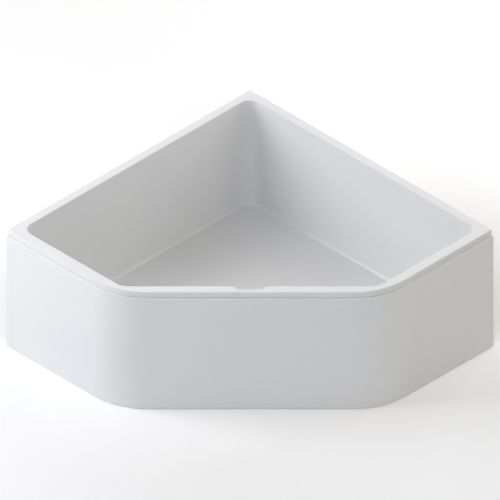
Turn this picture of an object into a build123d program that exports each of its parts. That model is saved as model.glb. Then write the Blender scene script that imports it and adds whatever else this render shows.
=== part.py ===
from build123d import *
import os
from math import cos, radians, sin, sqrt, tan

# Corner bathtub with a wrap-round front panel, all sizes in mm.
# Each piece is modelled on the bath's diagonal: the back corner of the walls is the origin, +X runs from it
# to the middle of the front, +Y runs across towards the right-hand end, and the floor is at Z = 0.
# write() then turns each piece so that the two walls lie along the row's axes.

# Tub outline
RIM_SIDE = 1400.0
RETURN_LENGTH = 629.0
HEIGHT = 580.0
RIM_WALL_WIDTH = 37.5
RIM_FRONT_WIDTH = 43.5
RIM_END_RADIUS = 3.0
RIM_FRONT_RADIUS = 300.0
RIM_OUTER_EDGE = 2.0
RIM_INNER_EDGE = 3.0

# Basin
DEPTH = 455.0
DRAFT = 7.8
BASIN_RIM_RADIUS = 50.0
BASIN_FOOT_RADIUS = 70.0
BASIN_FRONT_RADIUS = 80.0
FLOOR_EDGE_RADIUS = 14.0
ACRYLIC = 4.0
LAMINATE = 3.0

# Overflow niche in the front wall
NICHE_BACK_WIDTH = 104.0
NICHE_DEPTH = 23.0
NICHE_HEIGHT = 150.0
NICHE_SPLAY = 30.0
NICHE_SILL_SLOPE = 30.0
NICHE_BACK_RADIUS = 10.0
NICHE_MOUTH_RADIUS = 10.0

# Drain seat in the floor
DRAIN_SETBACK = 95.0
DRAIN_SEAT_MARGIN = 5.0
DRAIN_SEAT_DEPTH = 4.0
DRAIN_HOLE_CLEARANCE = 2.5

# Front panel
PANEL_PROUD = 9.0
PANEL_WALL = 4.0
PANEL_FLANGE = 25.0
PANEL_SHADOW_GAP = 0.5
PANEL_FLOOR_GAP = 2.0
PANEL_TOP_EDGE = 3.0

# Timber under the tub
BATTEN_WIDTH = 26.0
BATTEN_HEIGHT = 22.0
BATTEN_END_GAP = 5.0
BOARD_THICKNESS = 16.0
BOARD_MARGIN = 5.0
BOARD_CORNER_RADIUS = 40.0
BOARD_SLOT_WIDTH = 124.0

# Steel leg rails, at distances from the back corner along the diagonal
RAIL_FRONT_AT = 1095.0
RAIL_MIDDLE_AT = 760.0
RAIL_BACK_AT = 430.0
RAIL_WIDTH = 40.0
RAIL_HEIGHT = 25.0
RAIL_WALL = 2.0
RAIL_BEND = 4.0
RAIL_OVERHANG = 60.0
RAIL_END = 25.0
RAIL_SCREWS_NEAR = 0.25
RAIL_SCREWS_FAR = 0.8

# Levelling feet
STUD_RADIUS = 5.0
STUD_CHAMFER = 1.0
STUD_CLEARANCE = 0.05
STUD_HOLE_CLEARANCE = 1.0
STUD_ABOVE_RAIL = 34.0
STUD_TOP_GAP = 3.0
STUD_COLLAR_FLATS = 13.0
STUD_COLLAR_HEIGHT = 7.0
STUD_COLLAR_LIFT = 2.0
PAD_RADIUS = 25.0
PAD_NECK_RADIUS = 11.0
PAD_BASE_HEIGHT = 5.0
PAD_HEIGHT = 20.0
PAD_SOCKET_FLOOR = 8.0
NUT_FLATS = 17.0
WELD_NUT_HEIGHT = 8.0
LOCK_NUT_HEIGHT = 5.0

# Screws with hexagonal heads that turn up into the timber
SCREW_RADIUS = 2.2
SCREW_CLEARANCE = 0.05
SCREW_HEAD_FLATS = 7.0
SCREW_HEAD_HEIGHT = 3.5
SCREW_BITE = 12.0

# Wall brackets under the rim, at distances from the back corner along each wall
WALL_BRACKET_NEAR = 330.0
WALL_BRACKET_FAR = 1070.0
WALL_BRACKET_WIDTH = 40.0
WALL_BRACKET_DROP = 46.0
WALL_BRACKET_ARM = 29.0
WALL_BRACKET_STEEL = 2.5
WALL_BRACKET_BEND = 3.0
WALL_BRACKET_SCREW_AT = 17.0
WALL_HOLE_RADIUS = 3.25
WALL_HOLE_DROP = 30.0

# Spring clips that carry the panel's top flange
CLIP_FRONT_AT = 260.0
CLIP_RETURN_NEAR = 130.0
CLIP_RETURN_FAR = 400.0
CLIP_WIDTH = 26.0
CLIP_STEEL = 1.2
CLIP_BEND = 1.2
CLIP_GAP = 0.3
CLIP_FLANGE_GAP = 2.0
CLIP_TONGUE = 15.0
CLIP_LIP = 3.0
CLIP_LIP_DROP = 4.0

# Magnet brackets that hold the foot of the panel
MAGNET_FRONT_AT = 300.0
MAGNET_RETURN_AT = 400.0
MAGNET_BRACKET_WIDTH = 30.0
MAGNET_BRACKET_STEEL = 2.5
MAGNET_BRACKET_BITE = 45.0
MAGNET_BRACKET_RISE = 42.0
MAGNET_BRACKET_BEND = 4.0
MAGNET_SCREW_PITCH = 22.0
MAGNET_RADIUS = 11.0
MAGNET_HEIGHT = 6.0
MAGNET_GAP = 0.3
STRIKE_PLATE_SIDE = 36.0
STRIKE_PLATE_STEEL = 1.5
STRIKE_PLATE_CORNER = 3.0

# Waste fitting in the floor
WASTE_SLEEVE_RADIUS = 23.5
WASTE_SLEEVE_WALL = 2.5
WASTE_SLEEVE_LENGTH = 30.0
WASTE_RING_LIP = 11.5
WASTE_RING_HEIGHT = 3.0
WASTE_RING_EDGE = 1.0
WASTE_GASKET_INSET = 1.5
WASTE_GASKET_UPPER = 1.5
WASTE_GASKET_LOWER = 3.0
WASTE_WEB_WIDTH = 2.5
WASTE_WEB_HEIGHT = 6.0
WASTE_WEB_DROP = 13.0
WASTE_HUB_WALL = 3.0
WASTE_BODY_SPACE = 7.5
WASTE_BODY_FLANGE = 11.0
WASTE_BODY_FLANGE_HEIGHT = 4.0
WASTE_BODY_WALL = 3.0
WASTE_BODY_COLLAR = 12.0
WASTE_BODY_HEIGHT = 37.0
WASTE_CONE_HEIGHT = 4.0
WASTE_NECK_RADIUS = 22.0
WASTE_NECK_WALL = 4.0
WASTE_NECK_LENGTH = 13.0
WASTE_STUB_LENGTH = 22.0
WASTE_STUB_DROP = 19.5
THREAD_CLEARANCE = 0.05

# Click plug
PLUG_INSET = 4.0
PLUG_EDGE = 2.0
PLUG_DOME = 4.2
PLUG_SEAL_LAP = 3.5
PLUG_SEAL_WIDTH = 13.0
PLUG_SEAL_HEIGHT = 1.5
PLUG_SEAL_GAP = 0.3
PLUG_BOSS_WALL = 2.5
PLUG_BOSS_DEPTH = 6.0
PLUG_STEM_RADIUS = 4.0
PLUG_STEM_LENGTH = 30.0
PLUG_STEM_GRIP = 3.5
CARTRIDGE_WALL = 4.0
CARTRIDGE_DROP = 8.0
CARTRIDGE_LENGTH = 30.0
CARTRIDGE_FLOOR = 3.0
CARTRIDGE_COLLAR = 3.0
RUNNING_CLEARANCE = 0.05

# Overflow fitting in the niche
OVERFLOW_DROP = 95.0
OVERFLOW_HOLE_RADIUS = 26.0
OVERFLOW_COVER_LAP = 7.0
OVERFLOW_COVER_DEPTH = 8.0
OVERFLOW_COVER_WALL = 2.0
OVERFLOW_COVER_EDGE = 2.5
OVERFLOW_SLOT_WIDTH = 38.0
OVERFLOW_SLOT_HEIGHT = 4.5
OVERFLOW_GASKET = 2.0
OVERFLOW_GASKET_LAP = 8.0
OVERFLOW_FLANGE_LAP = 9.0
OVERFLOW_FLANGE_HEIGHT = 2.5
OVERFLOW_BODY_SPACE = 4.0
OVERFLOW_BODY_DEPTH = 18.0
OVERFLOW_BODY_WALL = 2.0
OVERFLOW_SCREW_RADIUS = 3.0
OVERFLOW_SCREW_SHOULDER = 3.0
OVERFLOW_SCREW_HEAD = 2.5
OVERFLOW_SCREW_BITE = 7.0

# Overflow pipework
PIPE_RADIUS = 14.0
PIPE_WALL = 1.5
PIPE_END_GAP = 1.0
SOCKET_WALL = 3.0
SOCKET_DEPTH = 18.0
SOCKET_BORE = 11.0
SOCKET_TO_PANEL = 5.0
SOCKET_BELOW_BODY = 30.0
ELBOW_BEND = 30.0
ELBOW_LEG = 24.0
NUT_SIDES = 12
NUT_LIP_GAP = 0.3
PIPE_NUT_WALL = 3.0
PIPE_NUT_GRIP = 10.0
PIPE_NUT_LIP = 3.0
PIPE_SEAL = 2.0

# Trap and outlet
TRAP_GASKET = 2.0
TRAP_FLANGE_HEIGHT = 4.0
TRAP_FLANGE_LAP = 3.0
TRAP_INLET_LENGTH = 4.5
TRAP_NUT_WALL = 5.5
TRAP_NUT_GRIP = 9.0
TRAP_NUT_LIP = 3.0
TRAP_RADIUS = 47.0
TRAP_WALL = 2.5
TRAP_EDGE = 4.0
TRAP_HEADROOM = 0.5
TRAP_DIP_GAP = 9.0
TRAP_WEIR_GAP = 3.5
TRAP_WEIR_HEIGHT = 27.0
OUTLET_RADIUS = 20.0
OUTLET_WALL = 2.0
OUTLET_SOCKET_LIFT = 2.0
OUTLET_SOCKET_WALL = 3.0
OUTLET_SOCKET_DEPTH = 18.0
OUTLET_SOCKET_LENGTH = 24.0
OUTLET_NUT_WALL = 3.0
OUTLET_LENGTH = 230.0
OUTLET_FREE_LENGTH = 150.0
OUTLET_BEAD_HEIGHT = 2.0
OUTLET_BEAD_WIDTH = 4.0
OUTLET_DIRECTION = 225.0

# Sizes that follow from the ones above
ROOT2 = sqrt(2)
LEAN = tan(radians(DRAFT))
SHELL = ACRYLIC + LAMINATE
REACH = (RIM_SIDE + RETURN_LENGTH) / ROOT2
FLOOR = HEIGHT - DEPTH
SKIRT_BOTTOM = HEIGHT - SHELL - BATTEN_HEIGHT
PANEL_TOP = SKIRT_BOTTOM - PANEL_SHADOW_GAP
PANEL_INSET = PANEL_FLANGE - PANEL_PROUD
PANEL_INSIDE = PANEL_WALL - PANEL_PROUD
BOARD_TOP = FLOOR - SHELL
BOARD_SET_IN = (
    LEAN * (HEIGHT - BOARD_TOP)
    - SHELL / cos(radians(DRAFT))
    + (FLOOR_EDGE_RADIUS + SHELL) * tan(radians((90 - DRAFT) / 2))
    + BOARD_MARGIN
)
BOARD_WALL_INSET = RIM_WALL_WIDTH + BOARD_SET_IN
BOARD_OPEN_INSET = RIM_FRONT_WIDTH + BOARD_SET_IN
RAIL_TOP = BOARD_TOP - BOARD_THICKNESS
RAIL_BOTTOM = RAIL_TOP - RAIL_HEIGHT
STUD_HOLE_RADIUS = STUD_RADIUS + STUD_HOLE_CLEARANCE
RAILS = {"front": RAIL_FRONT_AT, "middle": RAIL_MIDDLE_AT, "back": RAIL_BACK_AT}
RAILS_WITH_CENTRE_FOOT = ("front", "middle")
CLIP_RISER = PANEL_INSET + CLIP_FLANGE_GAP
CLIP_SCREW_AT = (CLIP_RISER + ACRYLIC + BATTEN_WIDTH) / 2
MAGNET_LEVEL = RAIL_TOP + MAGNET_BRACKET_RISE - STRIKE_PLATE_SIDE / 2
MAGNET_BACK = PANEL_INSIDE + STRIKE_PLATE_STEEL + MAGNET_GAP + MAGNET_HEIGHT
DRAIN_AT = REACH - RIM_FRONT_WIDTH - LEAN * DEPTH - DRAIN_SETBACK
DRAIN_HOLE_RADIUS = WASTE_SLEEVE_RADIUS + DRAIN_HOLE_CLEARANCE
WASTE_RING_RADIUS = WASTE_SLEEVE_RADIUS + WASTE_RING_LIP
DRAIN_SEAT_RADIUS = WASTE_RING_RADIUS + DRAIN_SEAT_MARGIN
DRAIN_SEAT = FLOOR - DRAIN_SEAT_DEPTH
WASTE_RING_TOP = DRAIN_SEAT + WASTE_GASKET_UPPER + WASTE_RING_HEIGHT
WASTE_BODY_RADIUS = WASTE_SLEEVE_RADIUS + WASTE_BODY_SPACE
WASTE_BODY_TOP = DRAIN_SEAT - SHELL - WASTE_GASKET_LOWER
WASTE_BODY_BOTTOM = WASTE_BODY_TOP - WASTE_BODY_HEIGHT
WASTE_NECK_BOTTOM = WASTE_BODY_BOTTOM - WASTE_NECK_LENGTH
WASTE_STUB_AXIS = WASTE_BODY_TOP - WASTE_BODY_FLANGE_HEIGHT - WASTE_STUB_DROP
WASTE_STUB_END = WASTE_BODY_RADIUS + WASTE_STUB_LENGTH
PLUG_RADIUS = WASTE_RING_RADIUS - PLUG_INSET
PLUG_BOTTOM = WASTE_RING_TOP + PLUG_SEAL_GAP + PLUG_SEAL_HEIGHT
CARTRIDGE_RADIUS = PLUG_STEM_RADIUS + CARTRIDGE_WALL
WASTE_HUB_RADIUS = CARTRIDGE_RADIUS + WASTE_HUB_WALL
CARTRIDGE_TOP = WASTE_RING_TOP - CARTRIDGE_DROP
WASTE_WEB_TOP = WASTE_RING_TOP - WASTE_WEB_DROP
OVERFLOW_FACE = -SHELL - OVERFLOW_GASKET
OVERFLOW_COVER_RADIUS = OVERFLOW_HOLE_RADIUS + OVERFLOW_COVER_LAP
OVERFLOW_BODY_RADIUS = OVERFLOW_HOLE_RADIUS + OVERFLOW_BODY_SPACE
OVERFLOW_HUB_RADIUS = OVERFLOW_SCREW_RADIUS + OVERFLOW_SCREW_SHOULDER
SOCKET_RADIUS = PIPE_RADIUS + SOCKET_WALL
PIPE_FIT = PIPE_RADIUS + THREAD_CLEARANCE
RISER_AT = REACH - PANEL_INSIDE - SOCKET_TO_PANEL - SOCKET_RADIUS
RISER_SOCKET = HEIGHT - OVERFLOW_DROP - OVERFLOW_BODY_RADIUS - SOCKET_BELOW_BODY
ELBOW_TOP = WASTE_STUB_AXIS + ELBOW_BEND + ELBOW_LEG
ELBOW_SIDE = RISER_AT - ELBOW_BEND - ELBOW_LEG
TRAP_FLANGE_TOP = WASTE_NECK_BOTTOM - TRAP_GASKET
TRAP_FLANGE_BOTTOM = TRAP_FLANGE_TOP - TRAP_FLANGE_HEIGHT
TRAP_TOP = TRAP_FLANGE_BOTTOM - TRAP_INLET_LENGTH
TRAP_INLET_RADIUS = WASTE_NECK_RADIUS - TRAP_FLANGE_LAP
OUTLET_SOCKET_RADIUS = OUTLET_RADIUS + OUTLET_SOCKET_WALL
OUTLET_AXIS = TRAP_TOP - TRAP_HEADROOM - OUTLET_RADIUS
TRAP_BOTTOM = OUTLET_AXIS - OUTLET_SOCKET_RADIUS - OUTLET_SOCKET_LIFT
OUTLET_FIT = OUTLET_RADIUS + THREAD_CLEARANCE
OUTLET_SOCKET_END = TRAP_RADIUS + OUTLET_SOCKET_LENGTH
WALL_CORNER = (RIM_SIDE + PANEL_PROUD) / 2

# Places: the row's frame seen from the diagonal, and a frame for each side, with X along it and Y inwards
TURN = Location((-WALL_CORNER, WALL_CORNER, 0), (0, 0, -45))
LEFT_WALL = Location((0, 0, 0), (0, 0, -45))
LEFT_RETURN = Location((RIM_SIDE / ROOT2, -RIM_SIDE / ROOT2, 0), (0, 0, 45))
FRONT = Location((REACH, 0, 0), (0, 0, 90))
DRAIN = Pos(DRAIN_AT, 0, 0)
TRAP = DRAIN * Rot(0, 0, OUTLET_DIRECTION)
OUTLET_JOINT = TRAP * Pos(OUTLET_SOCKET_END, 0, OUTLET_AXIS) * Rot(0, 90, 0)
STUB_JOINT = DRAIN * Pos(WASTE_STUB_END, 0, WASTE_STUB_AXIS) * Rot(0, 90, 0)
ELBOW_SIDE_JOINT = Pos(ELBOW_SIDE, 0, WASTE_STUB_AXIS) * Rot(0, -90, 0)
ELBOW_TOP_JOINT = Pos(RISER_AT, 0, ELBOW_TOP)
PIPE_JOINTS = (STUB_JOINT, ELBOW_SIDE_JOINT, ELBOW_TOP_JOINT)
CLIP_SPOTS = (
    (FRONT, -CLIP_FRONT_AT),
    (LEFT_RETURN, CLIP_RETURN_NEAR),
    (LEFT_RETURN, CLIP_RETURN_FAR),
)
MAGNET_SPOTS = ((FRONT, -MAGNET_FRONT_AT), (LEFT_RETURN, MAGNET_RETURN_AT))
NICHE_BACK = REACH - RIM_FRONT_WIDTH + NICHE_DEPTH
OVERFLOW_SEAT = Plane(
    origin=(NICHE_BACK - LEAN * OVERFLOW_DROP, 0, HEIGHT - OVERFLOW_DROP),
    x_dir=(0, 1, 0),
    z_dir=(-cos(radians(DRAFT)), 0, sin(radians(DRAFT))),
)


def write(name, *pieces):
    """Turns the pieces into the row's axes and writes them as one node."""
    solids = [TURN * solid for piece in pieces for solid in piece.solids()]
    shape = solids[0] if len(solids) == 1 else Compound(solids)
    export_step(shape, f"parts/{name}.step")


def both_sides(pieces):
    """The pieces of the left-hand side and their mirror images across the bath's diagonal."""
    return [*pieces, *(mirror(piece, about=Plane.XZ) for piece in pieces)]


def at(along_left, along_right):
    """A plan point from its distances along the left and the right wall."""
    return ((along_left + along_right) / ROOT2, (along_right - along_left) / ROOT2)


def plan(wall_inset, open_inset, end_radius, front_radius):
    """The bath's five-sided outline, moved in from the walls and from the open sides."""
    far = RIM_SIDE - open_inset
    cut = ROOT2 * (REACH - open_inset) - far
    corners = [
        at(wall_inset, wall_inset),
        at(wall_inset, far),
        at(cut, far),
        at(far, cut),
        at(far, wall_inset),
    ]
    face = make_face(Polyline(*corners, close=True))
    if front_radius:
        face = fillet(face.vertices().sort_by(Axis.X)[-2:], front_radius)
    if end_radius:
        face = fillet(face.vertices().sort_by(Axis.X)[:3], end_radius)
    return face


def prism(face, bottom, top):
    """The face pulled up from one height to another."""
    return extrude(Pos(0, 0, bottom) * face, amount=top - bottom, dir=(0, 0, 1))


def block(x0, x1, y0, y1, z0, z1):
    """A box from its limits."""
    return Pos((x0 + x1) / 2, (y0 + y1) / 2, (z0 + z1) / 2) * Box(x1 - x0, y1 - y0, z1 - z0)


def rod(radius, bottom, top):
    """An upright cylinder on the origin's axis."""
    return Pos(0, 0, (bottom + top) / 2) * Cylinder(radius, top - bottom)


def tube(outer, inner, bottom, top):
    """An upright tube on the origin's axis."""
    return rod(outer, bottom, top) - rod(inner, bottom, top)


def many_sided(flats, sides, bottom, top):
    """An upright bar with flat sides on the origin's axis."""
    return prism(RegularPolygon(flats / 2, sides, major_radius=False), bottom, top)


def turned(*points):
    """A turned solid from its half profile, as points of radius and height."""
    return revolve(Plane.XZ * make_face(Polyline(*points, close=True)), axis=Axis.Z)


def bent_strip(points, steel, bend, width):
    """A strip of sheet bent along points of Y and Z, centred on X."""
    face = Plane.YZ * trace(FilletPolyline(*points, radius=bend), steel)
    return extrude(face, amount=width / 2, both=True)


# Tub shell and its backing


def basin(grow):
    """The basin without its niche, its skin moved outwards from the bathing surface."""
    spread = grow / cos(radians(DRAFT))
    outlines = []
    for depth, radius in ((0, BASIN_RIM_RADIUS), (DEPTH + grow, BASIN_FOOT_RADIUS)):
        inset = LEAN * depth - spread
        corner = radius + grow
        outline = plan(RIM_WALL_WIDTH + inset, RIM_FRONT_WIDTH + inset, corner, BASIN_FRONT_RADIUS + grow)
        outlines.append(Pos(0, 0, HEIGHT - depth) * outline)
    body = loft(outlines, ruled=True)
    floor_edges = body.faces().sort_by(Axis.Z)[0].edges()
    return fillet(floor_edges, FLOOR_EDGE_RADIUS + grow)


def niche(grow):
    """The overflow niche, which leans back with the front wall and has a sloping sill."""
    spread = grow / cos(radians(DRAFT))
    mouth = REACH - RIM_FRONT_WIDTH
    back = mouth + NICHE_DEPTH + spread
    splay = tan(radians(NICHE_SPLAY))
    half_back = NICHE_BACK_WIDTH / 2 + grow / cos(radians(NICHE_SPLAY)) - spread * splay
    start = mouth - 2 * NICHE_DEPTH
    half_start = half_back + (back - start) * splay
    corners = [(start, -half_start), (back, -half_back), (back, half_back), (start, half_start)]
    face = Pos(0, 0, HEIGHT) * make_face(Polyline(*corners, close=True))
    fall = Vector(-sin(radians(DRAFT)), 0, -cos(radians(DRAFT)))
    body = extrude(face, amount=1.5 * NICHE_HEIGHT, dir=fall)
    slope = radians(NICHE_SILL_SLOPE)
    rise = Vector(-sin(slope), 0, cos(slope))
    sill_point = Vector(mouth + NICHE_DEPTH, 0, HEIGHT) + fall * (NICHE_HEIGHT / cos(radians(DRAFT)))
    sill = Plane(origin=sill_point - rise * grow, x_dir=(0, 1, 0), z_dir=rise)
    body = split(body, bisect_by=sill, keep=Keep.TOP)
    below_rim = [edge for edge in body.edges() if edge.center().Z < HEIGHT - 1]
    pocket = [edge for edge in below_rim if edge.center().X > start + NICHE_DEPTH / 2]
    return fillet(pocket, NICHE_BACK_RADIUS + grow)


def hollow(grow):
    """Everything that the tub holds: basin, niche and drain seat, grown outwards."""
    body = basin(grow) + niche(grow)
    spread = grow / cos(radians(DRAFT))
    mouth_plane = Plane(
        origin=(REACH - RIM_FRONT_WIDTH + spread, 0, HEIGHT),
        x_dir=(0, 1, 0),
        z_dir=(cos(radians(DRAFT)), 0, -sin(radians(DRAFT))),
    )
    limit = NICHE_BACK_WIDTH
    mouth = []
    for edge in body.edges():
        middle = edge.position_at(0.5)
        flat = abs(mouth_plane.to_local_coords(middle).Z) < 0.01
        inside = abs(middle.Y) < limit and HEIGHT - 1.5 * NICHE_HEIGHT < middle.Z < HEIGHT - 1
        if flat and inside:
            mouth.append(edge)
    body = fillet(mouth, NICHE_MOUTH_RADIUS - grow)
    corner = grow * tan(radians(22.5))
    seat = DRAIN_SEAT_RADIUS + corner
    dish_height = DRAIN_SEAT_DEPTH + grow
    dish = Cone(seat, seat + dish_height, dish_height)
    return body + DRAIN * Pos(0, 0, FLOOR - dish_height / 2) * dish


def skirt_plan(inset):
    """The rim's outline, moved inwards."""
    return plan(inset, inset, max(RIM_END_RADIUS - inset, 0), RIM_FRONT_RADIUS - inset)


def overflow_hole():
    """The round hole in the niche's back wall."""
    return OVERFLOW_SEAT * Cylinder(OVERFLOW_HOLE_RADIUS, 4 * SHELL)


def drain_hole():
    """The round hole in the drain seat."""
    return DRAIN * rod(DRAIN_HOLE_RADIUS, DRAIN_SEAT - 2 * SHELL, FLOOR)


def tub_shell():
    """The thermoformed sheet: flat rim with its down-turned skirt, basin, niche and drain seat."""
    rim = prism(skirt_plan(0), SKIRT_BOTTOM, HEIGHT)
    rim = fillet(rim.faces().sort_by(Axis.Z)[-1].edges(), RIM_OUTER_EDGE)
    shell = rim - prism(skirt_plan(ACRYLIC), SKIRT_BOTTOM, HEIGHT - ACRYLIC)
    shell = shell + hollow(ACRYLIC) - hollow(0) - drain_hole() - overflow_hole()
    top = shell.faces().filter_by(Axis.Z).sort_by(Axis.Z)[-1]
    return fillet(top.inner_wires()[0].edges(), RIM_INNER_EDGE)


def fibreglass_backing():
    """The laminate bonded to the underside of the rim and to the outside of the basin."""
    rim = prism(skirt_plan(ACRYLIC), HEIGHT - SHELL, HEIGHT - ACRYLIC)
    above = block(-1, 2 * REACH, -RIM_SIDE, RIM_SIDE, HEIGHT - ACRYLIC, HEIGHT + 1)
    body = hollow(SHELL) - above + rim
    return body - hollow(ACRYLIC) - drain_hole() - overflow_hole()


# Timber


def batten(side, start, end):
    """A strip along one side, its outer face against the skirt and its top under the laminate."""
    inner = ACRYLIC + BATTEN_WIDTH
    return side * block(start, end, ACRYLIC, inner, SKIRT_BOTTOM, SKIRT_BOTTOM + BATTEN_HEIGHT)


def rim_battens():
    """The left-hand strips under the rim: along the wall, along the return and beside the niche."""
    tangent = RIM_FRONT_RADIUS * tan(radians(22.5))
    return_end = RETURN_LENGTH - tangent - BATTEN_END_GAP
    front_end = (RIM_SIDE - RETURN_LENGTH) / ROOT2 - tangent - BATTEN_END_GAP
    niche_side = NICHE_BACK_WIDTH / 2 + NICHE_DEPTH + BATTEN_END_GAP
    clear = ACRYLIC + BATTEN_WIDTH + BATTEN_END_GAP
    wall = batten(LEFT_WALL, clear, RIM_SIDE - clear)
    side = batten(LEFT_RETURN, BATTEN_END_GAP, return_end)
    front = batten(FRONT, -front_end, -niche_side)
    holes = pilot_holes()
    return [piece - holes for piece in (wall, side, front)]


def base_board():
    """The plate under the floor, cut away round the drain and its pipework."""
    face = plan(BOARD_WALL_INSET, BOARD_OPEN_INSET, BOARD_CORNER_RADIUS, BOARD_CORNER_RADIUS)
    board = prism(face, RAIL_TOP, BOARD_TOP)
    half = BOARD_SLOT_WIDTH / 2
    board -= DRAIN * (rod(half, RAIL_TOP, BOARD_TOP) + block(0, REACH, -half, half, RAIL_TOP, BOARD_TOP))
    for place in foot_places().values():
        board -= Pos(*place) * rod(STUD_HOLE_RADIUS, RAIL_TOP, BOARD_TOP)
    return board - pilot_holes()


# Steel leg rails and their feet


def board_half_width(distance):
    """How far the base board reaches to each side of the diagonal, at a distance from the back corner."""
    to_wall = distance - ROOT2 * BOARD_WALL_INSET
    to_return = ROOT2 * (RIM_SIDE - BOARD_OPEN_INSET) - distance
    return min(to_wall, to_return)


def foot_places():
    """Plan points of the feet, by name."""
    places = {}
    for name, distance in RAILS.items():
        across = board_half_width(distance) + RAIL_OVERHANG
        places[f"{name}_left"] = (distance, -across)
        places[f"{name}_right"] = (distance, across)
        if name in RAILS_WITH_CENTRE_FOOT:
            places[f"{name}_centre"] = (distance, 0)
    return places


def rail_screw_places(name):
    """The left-hand screws through a rail's web into the base board."""
    half = board_half_width(RAILS[name])
    shares = (RAIL_SCREWS_NEAR, RAIL_SCREWS_FAR) if name in RAILS_WITH_CENTRE_FOOT else (RAIL_SCREWS_FAR,)
    return [(RAILS[name], -share * half) for share in shares]


def leg_rail(name):
    """A channel open downwards, with a plate welded across it where each foot goes through."""
    half = board_half_width(RAILS[name]) + RAIL_OVERHANG + RAIL_END
    side = RAIL_WIDTH / 2
    inside = side - RAIL_WALL
    body = block(-side, side, -half, half, RAIL_BOTTOM, RAIL_TOP)
    body = fillet(body.faces().sort_by(Axis.Z)[-1].edges().filter_by(Axis.Y), RAIL_BEND)
    bore = block(-inside, inside, -half, half, RAIL_BOTTOM, RAIL_TOP - RAIL_WALL)
    bore = fillet(bore.faces().sort_by(Axis.Z)[-1].edges().filter_by(Axis.Y), RAIL_BEND - RAIL_WALL)
    body = Pos(RAILS[name], 0, 0) * (body - bore)
    for foot, place in foot_places().items():
        if foot.startswith(name):
            body += Pos(*place) * block(-side, side, -side, side, RAIL_BOTTOM - RAIL_WALL, RAIL_BOTTOM)
            body -= Pos(*place) * rod(STUD_HOLE_RADIUS, RAIL_BOTTOM - RAIL_WALL, RAIL_TOP)
    holes = [Pos(*place) * screw_hole(RAIL_TOP, RAIL_WALL) for place in rail_screw_places(name)]
    return body - both_sides(holes)


def foot_nuts(bottom, height):
    """One hexagonal nut round each stud, at one height."""
    bar = many_sided(NUT_FLATS, 6, bottom, bottom + height)
    nut = bar - rod(STUD_RADIUS + STUD_CLEARANCE, bottom, bottom + height)
    return [Pos(*place) * nut for place in foot_places().values()]


def foot_stud(place):
    """A threaded stud with a hexagonal collar for the spanner; one under the board ends below the tub."""
    top = BOARD_TOP - STUD_TOP_GAP if place[1] == 0 else RAIL_TOP + STUD_ABOVE_RAIL
    body = rod(STUD_RADIUS, PAD_SOCKET_FLOOR, top)
    body = chamfer(body.edges().sort_by(Axis.Z)[-1], STUD_CHAMFER)
    collar = PAD_HEIGHT + STUD_COLLAR_LIFT
    body += many_sided(STUD_COLLAR_FLATS, 6, collar, collar + STUD_COLLAR_HEIGHT)
    return Pos(*place) * body


def foot_pad(place):
    """A moulded pad with a socket for the stud's end."""
    body = turned(
        (0, 0),
        (PAD_RADIUS, 0),
        (PAD_RADIUS, PAD_BASE_HEIGHT),
        (PAD_NECK_RADIUS, PAD_HEIGHT - PAD_BASE_HEIGHT),
        (PAD_NECK_RADIUS, PAD_HEIGHT),
        (0, PAD_HEIGHT),
    )
    return Pos(*place) * (body - rod(STUD_RADIUS + STUD_CLEARANCE, PAD_SOCKET_FLOOR, PAD_HEIGHT))


# Screws, and the pilot holes that they cut


def screw_hole(timber, steel):
    """The hole for a screw in the steel under the timber."""
    return rod(SCREW_RADIUS + SCREW_CLEARANCE, timber - steel, timber)


def magnet_screw_insets():
    """How far inwards each screw of a magnet bracket stands."""
    middle = BOARD_OPEN_INSET + MAGNET_BRACKET_BITE / 2
    return (middle - MAGNET_SCREW_PITCH / 2, middle + MAGNET_SCREW_PITCH / 2)


def upward_screws():
    """The left-hand screws: place, underside of the timber and thickness of the steel under the head."""
    screws = []
    for name in RAILS:
        for place in rail_screw_places(name):
            screws.append((Pos(*place), RAIL_TOP, RAIL_WALL))
    for along in (WALL_BRACKET_NEAR, WALL_BRACKET_FAR):
        place = LEFT_WALL * Pos(along, WALL_BRACKET_SCREW_AT, 0)
        screws.append((place, SKIRT_BOTTOM, WALL_BRACKET_STEEL))
    for side, along in CLIP_SPOTS:
        place = side * Pos(along, CLIP_SCREW_AT, 0)
        screws.append((place, SKIRT_BOTTOM, CLIP_STEEL))
    for side, along in MAGNET_SPOTS:
        for inset in magnet_screw_insets():
            screws.append((side * Pos(along, inset, 0), RAIL_TOP, MAGNET_BRACKET_STEEL))
    return screws


def timber_screws():
    """All the screws that turn upwards into timber."""
    solids = []
    for place, timber, steel in upward_screws():
        seat = timber - steel
        shank = rod(SCREW_RADIUS, seat, timber + SCREW_BITE)
        solids.append(place * (shank + many_sided(SCREW_HEAD_FLATS, 6, seat - SCREW_HEAD_HEIGHT, seat)))
    return both_sides(solids)


def pilot_holes():
    """The holes that the screws cut in the timber."""
    hole_radius = SCREW_RADIUS + SCREW_CLEARANCE
    holes = []
    for place, timber, _ in upward_screws():
        holes.append(place * rod(hole_radius, timber, timber + SCREW_BITE + SCREW_CLEARANCE))
    return both_sides(holes)


# Brackets, clips and magnets


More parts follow.
